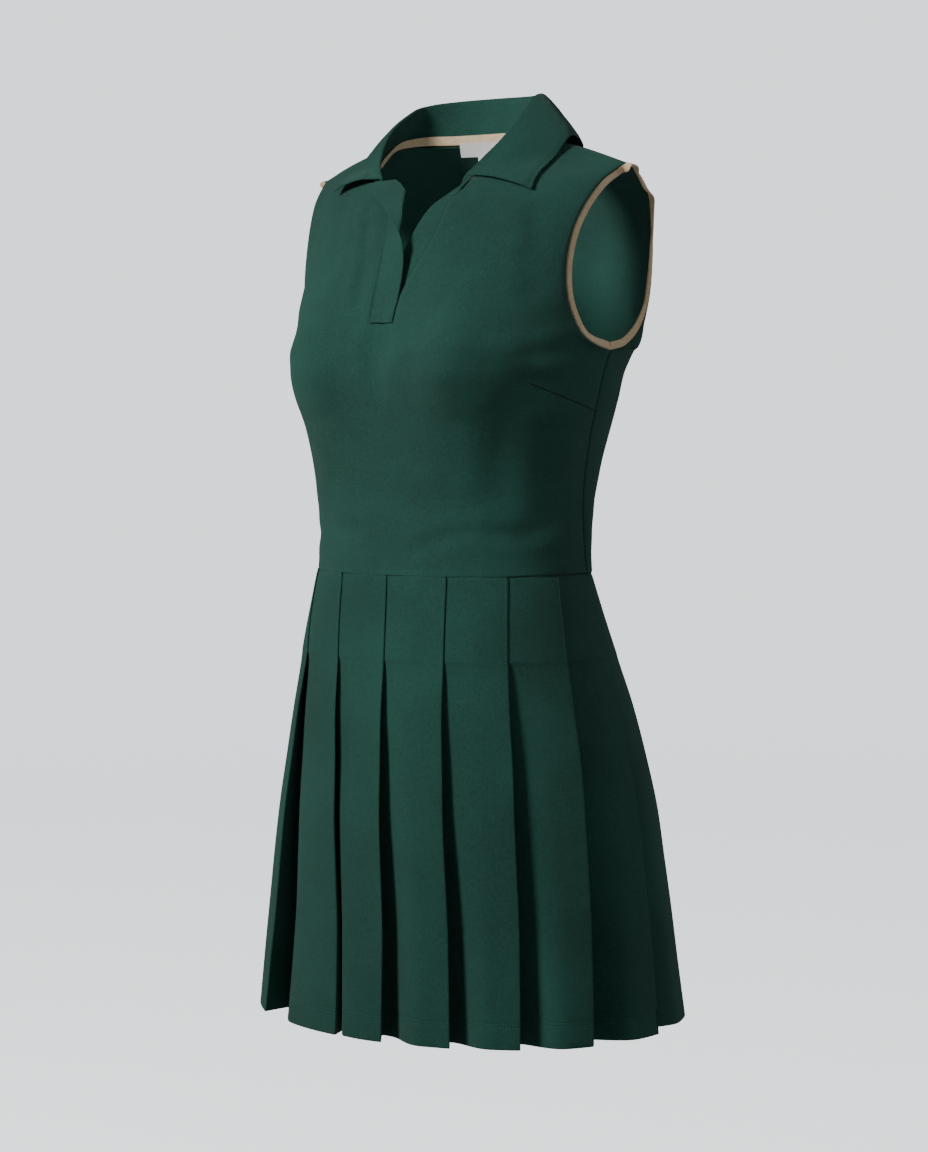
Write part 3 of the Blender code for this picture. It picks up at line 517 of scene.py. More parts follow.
back_skin = turned_under(back, back_normal, *TURN_UNDER)
BODY_KNIT = knit("green_knit", GREEN, GREEN_DEEP, 0.00095, 0.00080, 0.80, 0.76)
back_bodice = cloth_wall("bodice_back", back_skin, back_skin - back_normal * CLOTH, back_keep, BODY_KNIT)
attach(back_bodice, "root")
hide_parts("back_bodice")

# The armhole bindings: a strip of tan knit folded over each armhole's raw edge, sewn on
# by one row of edge stitches, with its ends joined at the top of the side seam.
BINDING_THICK = 0.0024
BINDING_STEP = 0.0022
STITCH_INSET = 0.0016
TAN = (0.740, 0.585, 0.390)
TAN_DEEP = (0.560, 0.410, 0.240)
TAN_THREAD = (0.600, 0.450, 0.270)
# Across the strip: how far from the garment's edge, and how far out
BINDING_PROFILE = (
    (0.0006, -0.55), (0.0006, 0.55), (0.0010, 0.86), (0.0016, 0.70), (0.0023, 0.96), (0.0036, 1.05),
    (0.0052, 1.05), (0.0066, 0.95), (0.0076, 0.62), (0.0080, 0.0), (0.0076, -0.62), (0.0066, -0.95),
    (0.0048, -1.02), (0.0030, -1.00), (0.0018, -0.90), (0.0010, -0.80),
)


def thread(name, colour):
    """Sewing thread: twisted, a little glossier than the cloth."""
    mat, tree, shader = new_material(name)
    place = wire(tree, "ShaderNodeTexCoord")
    twist = wire(tree, "ShaderNodeTexNoise", Vector=place.outputs["Object"], Scale=2500.0, Detail=1.0)
    bump = wire(tree, "ShaderNodeBump", Strength=0.5, Distance=0.0001, Height=twist.outputs["Fac"])
    tone = wire(tree, "ShaderNodeTexNoise", Vector=place.outputs["Object"], Scale=260.0)
    mix = wire(tree, "ShaderNodeMix", {"data_type": "RGBA"}, Factor=tone.outputs["Fac"],
               _6=(*[c * 0.75 for c in colour], 1), _7=(*[min(1, c * 1.25) for c in colour], 1))
    tree.links.new(mix.outputs[2], shader.inputs["Base Color"])
    tree.links.new(bump.outputs[0], shader.inputs["Normal"])
    shader.inputs["Roughness"].default_value = 0.55
    return mat


def stitch_tree():
    """Stitches along lines: one small grain of thread for each step of the line."""
    tree = bpy.data.node_groups.new("run_of_stitches", "GeometryNodeTree")
    tree.interface.new_socket("Geometry", in_out="INPUT", socket_type="NodeSocketGeometry")
    for name in ("Step", "Length", "Width", "Height"):
        tree.interface.new_socket(name, in_out="INPUT", socket_type="NodeSocketFloat")
    tree.interface.new_socket("Seed", in_out="INPUT", socket_type="NodeSocketInt")
    tree.interface.new_socket("Thread", in_out="INPUT", socket_type="NodeSocketMaterial")
    tree.interface.new_socket("Geometry", in_out="OUTPUT", socket_type="NodeSocketGeometry")
    given = wire(tree, "NodeGroupInput")
    curve = wire(tree, "GeometryNodeMeshToCurve", _0=given.outputs["Geometry"])
    steps = wire(tree, "GeometryNodeResampleCurve", {"mode": "LENGTH"}, Curve=curve.outputs[0],
                 Length=given.outputs["Step"])
    facing = wire(tree, "GeometryNodeInputNamedAttribute", {"data_type": "FLOAT_VECTOR"}, Name="facing")
    along = wire(tree, "GeometryNodeInputTangent")
    stand = wire(tree, "FunctionNodeAlignRotationToVector", {"axis": "Z"},
                 Vector=facing.outputs["Attribute"])
    turn = wire(tree, "FunctionNodeAlignRotationToVector", {"axis": "X", "pivot_axis": "Z"},
                Rotation=stand.outputs[0], Vector=along.outputs[0])
    uneven = wire(tree, "FunctionNodeRandomValue", {"data_type": "FLOAT"}, Seed=given.outputs["Seed"])
    uneven.inputs[2].default_value = 0.86
    uneven.inputs[3].default_value = 1.08
    long = maths(tree, "MULTIPLY", given.outputs["Length"], uneven.outputs[1])
    size = wire(tree, "ShaderNodeCombineXYZ", _0=long, _1=given.outputs["Width"],
                _2=given.outputs["Height"])
    grain = wire(tree, "GeometryNodeMeshIcoSphere", Radius=0.5, Subdivisions=1)
    many = wire(tree, "GeometryNodeInstanceOnPoints", Points=steps.outputs[0], Instance=grain.outputs[0],
                Rotation=turn.outputs[0], Scale=size.outputs[0])
    real = wire(tree, "GeometryNodeRealizeInstances", Geometry=many.outputs[0])
    soft = wire(tree, "GeometryNodeSetShadeSmooth", Geometry=real.outputs[0])
    painted = wire(tree, "GeometryNodeSetMaterial", Geometry=soft.outputs[0],
                   Material=given.outputs["Thread"])
    end = wire(tree, "NodeGroupOutput")
    tree.links.new(painted.outputs[0], end.inputs["Geometry"])
    return tree


STITCHES = stitch_tree()


def sew(name, lines, step, long, wide, high, mat, seed):
    """Stitches along lines, each given as its points and the directions they face."""
    points, facing, edges = [], [], []
    for line, out in lines:
        first = len(points)
        points.extend(np.asarray(line).tolist())
        facing.extend(unit(np.asarray(out)).tolist())
        edges.extend((first + i, first + i + 1) for i in range(len(line) - 1))
    mesh = bpy.data.meshes.new(name + "_line")
    mesh.from_pydata(points, edges, [])
    store = mesh.attributes.new("facing", "FLOAT_VECTOR", "POINT")
    store.data.foreach_set("vector", np.array(facing, np.float32).ravel())
    guide = bpy.data.objects.new(name + "_line", mesh)
    bpy.context.scene.collection.objects.link(guide)
    modifier = guide.modifiers.new("stitches", "NODES")
    modifier.node_group = STITCHES
    values = {"Step": step, "Length": long, "Width": wide, "Height": high, "Seed": seed, "Thread": mat}
    for item in STITCHES.interface.items_tree:
        if item.in_out == "INPUT" and item.name in values:
            modifier[item.identifier] = values[item.name]
    done = guide.evaluated_get(bpy.context.evaluated_depsgraph_get())
    result = bpy.data.meshes.new_from_object(done)
    obj = bpy.data.objects.new(name, result)
    result.name = name
    bpy.context.scene.collection.objects.link(obj)
    bpy.data.objects.remove(guide, do_unlink=True)
    bpy.data.meshes.remove(mesh)
    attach(obj, "root")
    return obj


def dense_line(points, spacing):
    """The same line with points every so often."""
    points = np.asarray(points, float)
    run = np.concatenate([[0], np.cumsum(np.linalg.norm(np.diff(points, axis=0), axis=1))])
    at = np.linspace(0, run[-1], max(int(run[-1] / spacing), 2))
    return np.stack([np.interp(at, run, points[:, i]) for i in range(points.shape[1])], 1)


BINDING_KNIT = knit("tan_binding", TAN, TAN_DEEP, 0.0010, 0.00085, 0.40, 0.78)
TAN_SEWING = thread("tan_thread", TAN_THREAD)
front_edge = front[corner_row:, -1]
front_out = front_normal[corner_row:, -1]
back_corner = int(np.searchsorted(row_places(len(BACK_ROWS) + 1), SIDE_ROWS - 1))
back_edge = back[back_corner:, -1][::-1]
back_out = back_normal[back_corner:, -1][::-1]
loop = np.concatenate([front_edge[:-1], [(front_edge[-1] + back_edge[0]) / 2], back_edge[1:-1]])
loop_out = np.concatenate([front_out[:-1], [front_out[-1]], back_out[1:-1]])
loop[0] = (front_edge[0] + back_edge[-1]) / 2
loop_out[0] = (1, 0, 0)
both = np.concatenate([loop, loop_out], 1)
# The way that the cloth faces counts in this length too, so the points lie closer still
closed = dense_line(np.concatenate([both, both[:1]]), BINDING_STEP)[:-1]
path, out = closed[:, :3], closed[:, 3:]
places = np.arange(len(path))
from_join = np.minimum(places, len(path) - places) * BINDING_STEP
loose = smooth_step(from_join, 0.010, 0.030)[:, None]
for _ in range(18):
    even = (np.roll(path, 1, 0) + 2 * path + np.roll(path, -1, 0)) / 4
    path = path + (even - path) * loose
for _ in range(6):
    out = (np.roll(out, 1, 0) + 2 * out + np.roll(out, -1, 0)) / 4
out = unit(out)
tangent = unit(np.roll(path, -1, 0) - np.roll(path, 1, 0))
reach = unit(np.cross(tangent, out))
centre = path.mean(0)
reach = np.where(((centre - path) * reach).sum(1)[:, None] > 0, reach, -reach)
core = path - out * CLOTH / 2
uneven = 1 + 0.035 * np.sin(places * 0.21) + 0.025 * np.sin(places * 0.53 + 1.0)
pinch = 1 - 0.55 * np.exp(-((from_join / 0.0016) ** 2))
sections = np.stack([core + reach * u + out * (v * BINDING_THICK / 2 * uneven * pinch)[:, None]
                     for u, v in BINDING_PROFILE], 1)
run = np.concatenate([np.cumsum(np.linalg.norm(np.diff(path, axis=0), axis=1)), [0]])
run = np.roll(run, 1)
lap = np.diff(np.array(BINDING_PROFILE) * (1, BINDING_THICK / 2), axis=0)
lap = np.concatenate([[0], np.cumsum(np.linalg.norm(lap, axis=1))])
flat = np.stack(np.broadcast_arrays(lap[None, :], run[:, None]), 2).reshape(-1, 2)
around = len(BINDING_PROFILE)
faces = []
for i in range(len(path)):
    k = (i + 1) % len(path)
    for j in range(around):
        m = (j + 1) % around
        faces.append((i * around + j, i * around + m, k * around + m, k * around + j))
edge_line = core + reach * STITCH_INSET + out * (BINDING_THICK / 2 * 0.72)
for side, turn in (("left", 1), ("right", -1)):
    flip = np.array((turn, 1, 1))
    points = (sections * flip).reshape(-1, 3)
    binding = cloth_mesh("armhole_binding_" + side + "_cloth", points, faces, flat, BINDING_KNIT)
    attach(binding, "root")
    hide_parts("armhole_binding_" + side)
    ring = np.concatenate([edge_line, edge_line[:1]]) * flip
    ring_out = np.concatenate([out, out[:1]]) * flip
    lines = [(ring, ring_out)]
    seam = sew("armhole_stitches_" + side, lines, 0.0026, 0.0021, 0.00045, 0.00045, TAN_SEWING, 3)

# The half placket: the under strip in its slot, sewn to the wearer's left edge, and the
# over strip from the wearer's right. Each is a doubled band of the same knit; the over
# strip's open upper part turns out like a small lapel. Its foot is sewn down square.
PLACKET_THICK = 0.0017
# z of the row, x of the slot side, x of the free edge
UNDER_STRIP = (
    (-0.1595, 0.0118, -0.0105),
    (-0.1370, 0.0165, -0.0045),
    (-0.1120, 0.0265, 0.0035),
    (-0.0880, 0.0380, 0.0115),
    (-0.0660, 0.0450, 0.0205),
    (-0.0500, 0.0475, 0.0300),
    (-0.0410, 0.0515, 0.0390),
    (-0.0330, 0.0560, 0.0470),
    (-0.0250, 0.0600, 0.0545),
)
# z, then x and height above the front for the seam, the middle and the free edge
OVER_STRIP = (
    (-0.1612, -0.0125, 0.0017, 0.0010, 0.0019, 0.0141, 0.0020),
    (-0.1370, -0.0125, 0.0017, 0.0020, 0.0023, 0.0165, 0.0028),
    (-0.1180, -0.0122, 0.0019, 0.0035, 0.0036, 0.0180, 0.0050),
    (-0.1000, -0.0120, 0.0021, 0.0040, 0.0066, 0.0172, 0.0085),
    (-0.0880, -0.0120, 0.0023, 0.0075, 0.0098, 0.0150, 0.0130),
    (-0.0740, -0.0122, 0.0025, 0.0095, 0.0112, 0.0045, 0.0160),
    (-0.0580, -0.0124, 0.0025, 0.0062, 0.0108, -0.0150, 0.0085),
    (-0.0460, -0.0126, 0.0025, 0.0008, 0.0104, -0.0350, 0.0058),
    (-0.0375, -0.0180, 0.0023, -0.0095, 0.0090, -0.0520, 0.0048),
    (-0.0290, -0.0300, 0.0023, -0.0230, 0.0075, -0.0600, 0.0048),
)
GREEN_THREAD = (0.0180, 0.1000, 0.0760)


def tree_of(grids):
    points, faces = [], []
    for grid, keep in grids:
        base, columns = len(points), grid.shape[1]
        points.extend(grid.reshape(-1, 3).tolist())
        for i, j in zip(*np.nonzero(keep)):
            a = base + int(i) * columns + int(j)
            faces.append((a, a + 1, a + columns + 1, a + columns))
    return BVHTree.FromPolygons([Vector(p) for p in points], faces)


plain_tree = tree_of([(plain, plain_keep)])


def on_front(x, z, height):
    """The point over the front at x and z, and the way that the cloth faces there."""
    hit, normal, _, _ = plain_tree.ray_cast(Vector((x, -0.6, z)), Vector((0, 1, 0)))
    normal = -normal if normal.y > 0 else normal
    return np.array(hit) + np.array(normal) * height, np.array(normal)


def band(name, centre, thick, mat, edge=0.0014):
    """A band of cloth about a middle grid, thinner at its rim as a folded edge is."""
    keep = np.ones((centre.shape[0] - 1, centre.shape[1] - 1), bool)
    normal = grid_normals(centre, keep)
    side = np.concatenate([np.zeros((len(centre), 1)),
                           np.cumsum(np.linalg.norm(np.diff(centre, axis=1), axis=2), axis=1)], 1)
    rise = np.concatenate([np.zeros((1, centre.shape[1])),
                           np.cumsum(np.linalg.norm(np.diff(centre, axis=0), axis=2), axis=0)], 0)
    rim = np.minimum(np.minimum(side, side[:, -1:] - side), np.minimum(rise, rise[-1:] - rise))
    half = (thick / 2 * np.sqrt(np.clip(1 - (1 - np.clip(rim / edge, 0, 1)) ** 2, 0.06, 1)))[..., None]
    return cloth_wall(name, centre + normal * half, centre - normal * half, keep, mat)


def rim_spread(count, fine, share):
    """Places from 0 to 1, with extra ones close to both ends."""
    inner = np.linspace(share, 1 - share, count)
    return np.concatenate([[0], np.array(fine) * share, inner, 1 - np.array(fine[::-1]) * share, [1]])


def finer(table, shares):
    """The rows of a table read at shares of the way from its first row to its last."""
    table = np.array(table)
    return curve_at(table[:, 0], table, table[0, 0] + (table[-1, 0] - table[0, 0]) * shares)


across_band = rim_spread(13, (0.12, 0.35, 0.65), 0.06)
under_front = -0.0003 - PLACKET_THICK / 2
grid = []
for z, slot, free in finer(UNDER_STRIP, rim_spread(46, (0.2, 0.5), 0.01)):
    xs = [slot + (free - slot) * t - (SEAM_GAP + 0.0004) * (1 - t) for t in across_band]
    grid.append([on_front(x, z, under_front)[0] for x in xs])
grid = np.array(grid)
placket_under = band("placket_under_cloth", grid, PLACKET_THICK, BODY_KNIT)
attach(placket_under, "root")
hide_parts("placket_under")
fine = finer(OVER_STRIP, rim_spread(70, (0.2, 0.5), 0.008))
grid = []
for z, x0, h0, x1, h1, x2, h2 in fine:
    ends = np.array([on_front(x0, z, h0)[0], on_front(x1, z, h1)[0], on_front(x2, z, h2)[0]])
    grid.append(curve_at((0.0, 0.5, 1.0), ends, across_band))
grid = np.array(grid)
placket_over = band("placket_over_cloth", grid, PLACKET_THICK, BODY_KNIT)
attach(placket_over, "root")
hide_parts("placket_over")
GREEN_SEWING = thread("green_thread", GREEN_THREAD)
outward = grid_normals(grid, np.ones((grid.shape[0] - 1, grid.shape[1] - 1), bool))
outward = -outward if outward[5, 8][1] > 0 else outward
lift = PLACKET_THICK / 2 + 0.0001
low = fine[:, 0] < -0.100
lines = []
for column in (2, 4):
    line = dense_line((grid[:, column] + outward[:, column] * lift)[low], 0.003)
    lines.append((line, outward[:, column][low][:1].repeat(len(line), 0)))
for row in (5, 9):
    foot = grid[row, 2:-2] + outward[row, 2:-2] * lift
    lines.append((foot, outward[row, 2:-2]))
# The under strip's seam as x and z, sewn twice
left_edge = ((0.0499, -0.0567), (0.0468, -0.0717), (0.0430, -0.0866), (0.0329, -0.1087),
             (0.0283, -0.1244), (0.0262, -0.1402), (0.0240, -0.1577))
for shift in (0.0, 0.0032):
    spots = [on_front(x + shift, z, 0.0002) for x, z in dense_line(left_edge, 0.003)]
    lines.append((np.array([p for p, _ in spots]), np.array([n for _, n in spots])))
placket_stitches = sew("placket_stitches", lines, 0.0027, 0.0021, 0.00042, 0.00038, GREEN_SEWING, 5)

# The collar: one flat-knit rib piece, sewn into the neck. It stands at the back of the
# neck, rolls over and falls open in two points over the shoulders; its outer edge is
# finished in the knitting and waves a little.
COLLAR_THICK = 0.0014
COLLAR_COLUMNS = 200
# share of the neck seam, roll x y z, edge x y z
COLLAR = (
    (0.000, -0.0450, -0.0700, -0.0200, -0.1020, -0.0620, -0.0380),
    (0.070, -0.0600, -0.0560, -0.0040, -0.1070, -0.0400, -0.0230),
    (0.140, -0.0690, -0.0290, 0.0260, -0.1070, -0.0220, -0.0030),
    (0.210, -0.0670, 0.0040, 0.0480, -0.1050, 0.0020, 0.0110),
    (0.300, -0.0620, 0.0300, 0.0570, -0.0960, 0.0440, 0.0080),
    (0.390, -0.0400, 0.0490, 0.0610, -0.0620, 0.0800, 0.0060),
    (0.490, 0.0000, 0.0550, 0.0620, 0.0000, 0.0940, 0.0050),
    (0.590, 0.0420, 0.0490, 0.0610, 0.0620, 0.0800, 0.0060),
    (0.680, 0.0720, 0.0270, 0.0590, 0.1080, 0.0420, 0.0090),
    (0.775, 0.0780, 0.0020, 0.0530, 0.1210, 0.0000, 0.0150),
    (0.850, 0.0765, -0.0320, 0.0220, 0.1200, -0.0240, -0.0080),
    (0.930, 0.0640, -0.0530, -0.0020, 0.1160, -0.0440, -0.0270),
    (1.000, 0.0500, -0.0680, -0.0220, 0.1190, -0.0580, -0.0420),
)
COLLAR_START_X = -0.0470
RIB = 0.0011
COLLAR_KNIT = knit("green_rib_knit", GREEN, GREEN_DEEP, RIB, 0.0011, 0.85, 0.80)
neck_back = back[-1, HALF - neck_columns : HALF + neck_columns + 1]
right_neck = front[int(np.searchsorted(front_places, 15)) :, HALF]
left_neck = front[int(np.searchsorted(front_places, 16)) :, HALF + 2]
neck = np.concatenate([right_neck[:-1], neck_back, left_neck[:-1][::-1]])
neck = dense_line(neck, 0.0012)
neck = neck[int(np.argmax((neck[:, 0] > -0.2) & (neck[:, 0] < COLLAR_START_X))) :]
run = np.concatenate([[0], np.cumsum(np.linalg.norm(np.diff(neck, axis=0), axis=1))])
run = run / run[-1]
table = np.array(COLLAR)
seam = np.stack([np.interp(table[:, 0], run, neck[:, i]) for i in range(3)], 1)
seam[:, 2] += 0.0022
roll, leaf = table[:, 1:4], table[:, 4:7]
inner_side = (seam + roll) / 2 * (0.985, 0.985, 1)
outer_side = (roll + leaf) / 2 + unit((leaf - seam) * (1, 1, 0)) * 0.001 + (0, 0, 0.001)
stack = np.stack([seam, inner_side, roll, outer_side, leaf], 1)
shares = rim_spread(COLLAR_COLUMNS, (0.2, 0.5), 0.004)
by_column = curve_at(table[:, 0], stack.reshape(len(table), -1), shares).reshape(-1, 5, 3)
steps = np.concatenate([np.linspace(0, 0.30, 9), np.linspace(0.33, 0.56, 12), np.linspace(0.60, 0.97, 14),
                        (0.985, 0.993, 1.0)])
surface = np.stack([curve_at((0.0, 0.24, 0.44, 0.67, 1.0), column, steps) for column in by_column], 1)
bodice_tree = tree_of([(front, front_keep), (back, back_keep)])
for i in range(int(np.searchsorted(steps, 0.45)), surface.shape[0]):
    for j in range(surface.shape[1]):
        point = Vector(surface[i, j])
        near, normal, _, _ = bodice_tree.find_nearest(point)
        axis = Vector((near.x, near.y - 0.01, max(near.z + 0.10, 0.0)))
        normal = -normal if normal.dot(axis) < 0 else normal
        gap = (point - near).dot(normal)
        least = 0.0030 + 0.0045 * max(0.0, 1 - shares[j] / 0.10)
        if gap < least:
            surface[i, j] = np.array(near + normal * least)
near_end = 1 - smooth_step(np.minimum(shares, 1 - shares), 0.10, 0.17)
for _ in range(20):
    even = surface.copy()
    even[1:-1, 1:-1] = (surface[:-2, 1:-1] + surface[2:, 1:-1]
                        + surface[1:-1, :-2] + surface[1:-1, 2:]) / 4
    even[1:-1, 0] = (surface[:-2, 0] + surface[2:, 0]) / 2
    even[1:-1, -1] = (surface[:-2, -1] + surface[2:, -1]) / 2
    even[-1, 1:-1] = (surface[-1, :-2] + surface[-1, 2:]) / 2
    surface += (even - surface) * near_end[None, :, None] * 0.7
# The leaf's edge waves and its surface bows a little between the seam and the edge
length = np.concatenate([[0], np.cumsum(np.linalg.norm(np.diff(surface[-1], axis=0), axis=1))])
wave = 0.00035 * np.sin(length / 0.0011) + 0.0005 * np.sin(length / 0.0082 + 0.7)
toward = unit(surface[-1] - surface[-6])
fade = smooth_step(steps, 0.90, 1.0)[:, None]
surface = surface + (fade * wave[None, :])[..., None] * toward[None]
keep = np.ones((surface.shape[0] - 1, surface.shape[1] - 1), bool)
normal = grid_normals(surface, keep)
normal = -normal if normal[-8, COLLAR_COLUMNS // 2][1] < 0 else normal
leaf_share = smooth_step(steps, 0.50, 0.62)[:, None] * (1 - smooth_step(steps, 0.9, 1.0)[:, None])
lie = 0.0009 * np.sin(length / 0.021 + 0.4) + 0.0006 * np.sin(length / 0.0093 + 2.0)
surface = surface + normal * (leaf_share * (0.0006 + 0.5 * np.abs(lie[None, :])))[..., None]
collar = band("collar_cloth", surface, COLLAR_THICK, COLLAR_KNIT, edge=0.0011)
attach(collar, "root")
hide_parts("collar")

# The neck tape: a tan woven tape over the neck seam inside, with a dashed row of
# stitches along its lower edge.
TAPE_THICK = 0.0008
TAPE_SEAM = -0.0006
TAPE_HEIGHTS = (-0.0024, -0.0019, 0.0000, 0.0022, 0.0044, 0.0064, 0.0070)


def woven(name, light, deep, pitch, roughness):
    """Plain woven tape: threads over and under each other."""
    mat, tree, shader = new_material(name)
    place = wire(tree, "ShaderNodeTexCoord")
    split = wire(tree, "ShaderNodeSeparateXYZ", _0=place.outputs["UV"])
    waves = [maths(tree, "SINE", maths(tree, "MULTIPLY", socket, math.pi / pitch))
             for socket in split.outputs[:2]]
    weave = maths(tree, "MULTIPLY", *waves)
    bump = wire(tree, "ShaderNodeBump", Strength=0.6, Distance=0.0002, Height=weave)
    tone = wire(tree, "ShaderNodeTexNoise", Vector=place.outputs["Object"], Scale=180.0, Detail=3.0)
    mix = wire(tree, "ShaderNodeMix", {"data_type": "RGBA"}, Factor=tone.outputs["Fac"],
               _6=(*deep, 1), _7=(*light, 1))
    tree.links.new(mix.outputs[2], shader.inputs["Base Color"])
    tree.links.new(bump.outputs[0], shader.inputs["Normal"])
    shader.inputs["Roughness"].default_value = roughness
    shader.inputs["Sheen Weight"].default_value = 0.15
    return mat


TAPE_WEAVE = woven("tan_tape", TAN, TAN_DEEP, 0.0006, 0.80)
stand = unit(surface[6] - surface[0])
inward = -normal[0]
toward = np.array((0.0, -0.01, 0.0)) - surface[0]
inward = np.where((inward * toward).sum(-1)[:, None] > 0, inward, -inward)
inward = unit(inward * (1, 1, 0.3))
off = inward * (COLLAR_THICK / 2 + SEAM_GAP + 0.0010)
keep_columns = slice(int(np.searchsorted(shares, 0.024)), int(np.searchsorted(shares, 0.976)))
grid = np.array([surface[0] + stand * height + off for height in TAPE_HEIGHTS])[:, keep_columns]
neck_tape = band("neck_tape_cloth", grid, TAPE_THICK, TAPE_WEAVE, edge=0.0006)
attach(neck_tape, "root")
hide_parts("neck_tape")
line = (surface[0] + stand * TAPE_SEAM + off + inward * (TAPE_THICK / 2))[keep_columns]
lines = [(line, inward[keep_columns])]
tape_stitches = sew("tape_stitches", lines, 0.0028, 0.0020, 0.00045, 0.0004, TAN_SEWING, 7)

# The neck label and the smaller tab under it: plain white woven pieces, sewn in under
# the tape at the middle of the back of the neck.
# middle x, width, height
LABEL = (-0.0020, 0.0630, 0.0140)
SIZE_TAB = (-0.0070, 0.0180, 0.0120)
LABEL_TOP = 0.0195
LABEL_THICK = 0.0006
WHITE = (0.760, 0.770, 0.760)
WHITE_DEEP = (0.660, 0.675, 0.665)
LABEL_WEAVE = woven("white_label", WHITE, WHITE_DEEP, 0.00035, 0.60)
WHITE_SEWING = thread("white_thread", WHITE)


def below_tape(x, drop):
    """A place on a label that hangs from the tape's lower edge and leans on the back."""
    q = math.asin(min(abs(x) / NECK_SIDE[0], 1))
    y = NECK_BACK[0] - (NECK_BACK[0] - NECK_SIDE[1]) * (1 - math.cos(q))
    return np.array((x, y - 0.0024 + 0.15 * drop + 0.0004 * math.sin(260 * drop + 70 * x), LABEL_TOP - drop))


def patch(name, node, middle_x, width, height, start):
    grid = np.array([[below_tape(x, start + height * t)
                      for x in middle_x + width * (rim_spread(17, (0.2, 0.5), 0.02) - 0.5)]
                     for t in rim_spread(7, (0.2, 0.5), 0.05)])
    piece = band(name, grid, LABEL_THICK, LABEL_WEAVE, edge=0.0005)
    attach(piece, "root")
    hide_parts(node)
    return piece


neck_label = patch("neck_label_cloth", "neck_label", *LABEL, 0.0)
size_tab = patch("size_tab_cloth", "size_tab", *SIZE_TAB, LABEL[2] - 0.0010)
lines = []
for side in (-1, 1):
    edge_x = LABEL[0] + side * (LABEL[1] / 2 - 0.0016)
    line = np.array([below_tape(edge_x, 0.001 + t * (LABEL[2] - 0.002)) for t in np.linspace(0, 1, 6)])
    lines.append((line + (0, -0.0004, 0), np.repeat([(0.0, -1.0, 0.3)], 6, 0)))
label_stitches = sew("label_stitches", lines, 0.0018, 0.0014, 0.00035, 0.0003, WHITE_SEWING, 9)

# The skirt: a front and a back of the same knit, each laid in knife pleats that turn
# towards the wearer's left. The pleats are edge-stitched from the waist seam to below
# the hips and fall free from there; the hem is turned up and sewn with two rows.
SKIRT_CLOTH = 0.0008
LAYER_STEP = 0.0008
CAD_CLOTH = 0.0012
WAIST_Z = -0.3930
RELEASE_Z = -0.4710
HEM_Z = -0.8150
UNDERLAY = 0.0290
HEM_ROWS = (0.0197, 0.0228)
# z, half width, side y, front y, back y, squareness
SKIRT_RINGS = (
    (-0.3930, 0.1425, -0.0030, -0.1225, 0.0480, 2.30),
    (-0.4430, 0.1535, -0.0030, -0.1330, 0.0800, 2.25),
    (-0.4810, 0.1620, -0.0020, -0.1400, 0.1040, 2.20),
    (-0.5190, 0.1710, -0.0010, -0.1480, 0.1250, 2.15),
    (-0.5670, 0.1820, 0.0000, -0.1540, 0.1430, 2.10),
    (-0.6150, 0.1900, 0.0020, -0.1600, 0.1580, 2.10),
    (-0.6630, 0.1970, 0.0030, -0.1620, 0.1630, 2.10),
    (-0.7110, 0.2030, 0.0040, -0.1630, 0.1700, 2.10),
    (-0.7590, 0.2080, 0.0060, -0.1660, 0.1760, 2.10),
    (-0.8150, 0.2130, 0.0080, -0.1690, 0.1880, 2.10),
)
# Angle of each front fold at the waist, the release and the hem, then the depth of the
# open pleat at the hem and how soon the next panel comes out again
FOLDS = (
    (-89.0, -86.0, -78.0, 0.025, 0.60),
    (-55.0, -40.0, -42.0, 0.025, 0.45),
    (-21.5, -16.3, -6.3, 0.026, 0.22),
    (-0.3, 1.8, 6.5, 0.024, 0.60),
    (22.5, 23.0, 25.0, 0.024, 0.60),
    (48.7, 46.7, 43.7, 0.026, 0.60),
    (74.0, 72.0, 65.2, 0.028, 0.60),
    (90.0, 95.5, 90.5, 0.026, 0.60),
)
# How far each front fold bows half way down, in degrees
FOLD_MIDDLES = (0.0, 3.2, 2.2, 1.2, 0.3, 0.0, 0.0, 0.0)
# The back folds: share of the way round at the waist and the hem, and the same two
BACK_FOLDS_AT = (
    (0.125, 0.130, 0.025, 0.60),
    (0.250, 0.240, 0.024, 0.55),
    (0.375, 0.385, 0.026, 0.60),
    (0.500, 0.495, 0.025, 0.45),
    (0.625, 0.630, 0.026, 0.60),
    (0.750, 0.745, 0.024, 0.50),
    (0.875, 0.880, 0.025, 0.60),
)
FRONT_PLEATS = 7
# Along the underlay and then along the next panel, closer at the folds
UNDER_PLACES = (0.0, 0.03, 0.09, 0.25, 0.5, 0.75, 0.91, 0.97)
PANEL_PLACES = np.concatenate([(0.0, 0.010, 0.030), np.linspace(0.07, 0.93, 22),
                               (0.955, 0.975, 0.988, 0.996)])
rings = np.array(SKIRT_RINGS)
depths = [row[3:5] for row in FOLDS] + [row[2:4] for row in BACK_FOLDS_AT]


def ring_at(z):
    """Angles, points and lengths round the ring at a height."""
    _, a, side_y, front_y, back_y, square = curve_at(-rings[:, 0], rings, [-z])[0]
    angle = np.radians(np.linspace(-140, 320, 3681))
    s, c = np.sin(angle), np.cos(angle)
    x = a * np.sign(s) * np.abs(s) ** (2 / square)
    depth = np.where(c > 0, side_y - front_y, back_y - side_y)
    y = side_y - depth * np.sign(c) * np.abs(c) ** (2 / square)
    points = np.stack([x, y], 1)
    length = np.concatenate([[0], np.cumsum(np.linalg.norm(np.diff(points, axis=0), axis=1))])
    return angle, points, length


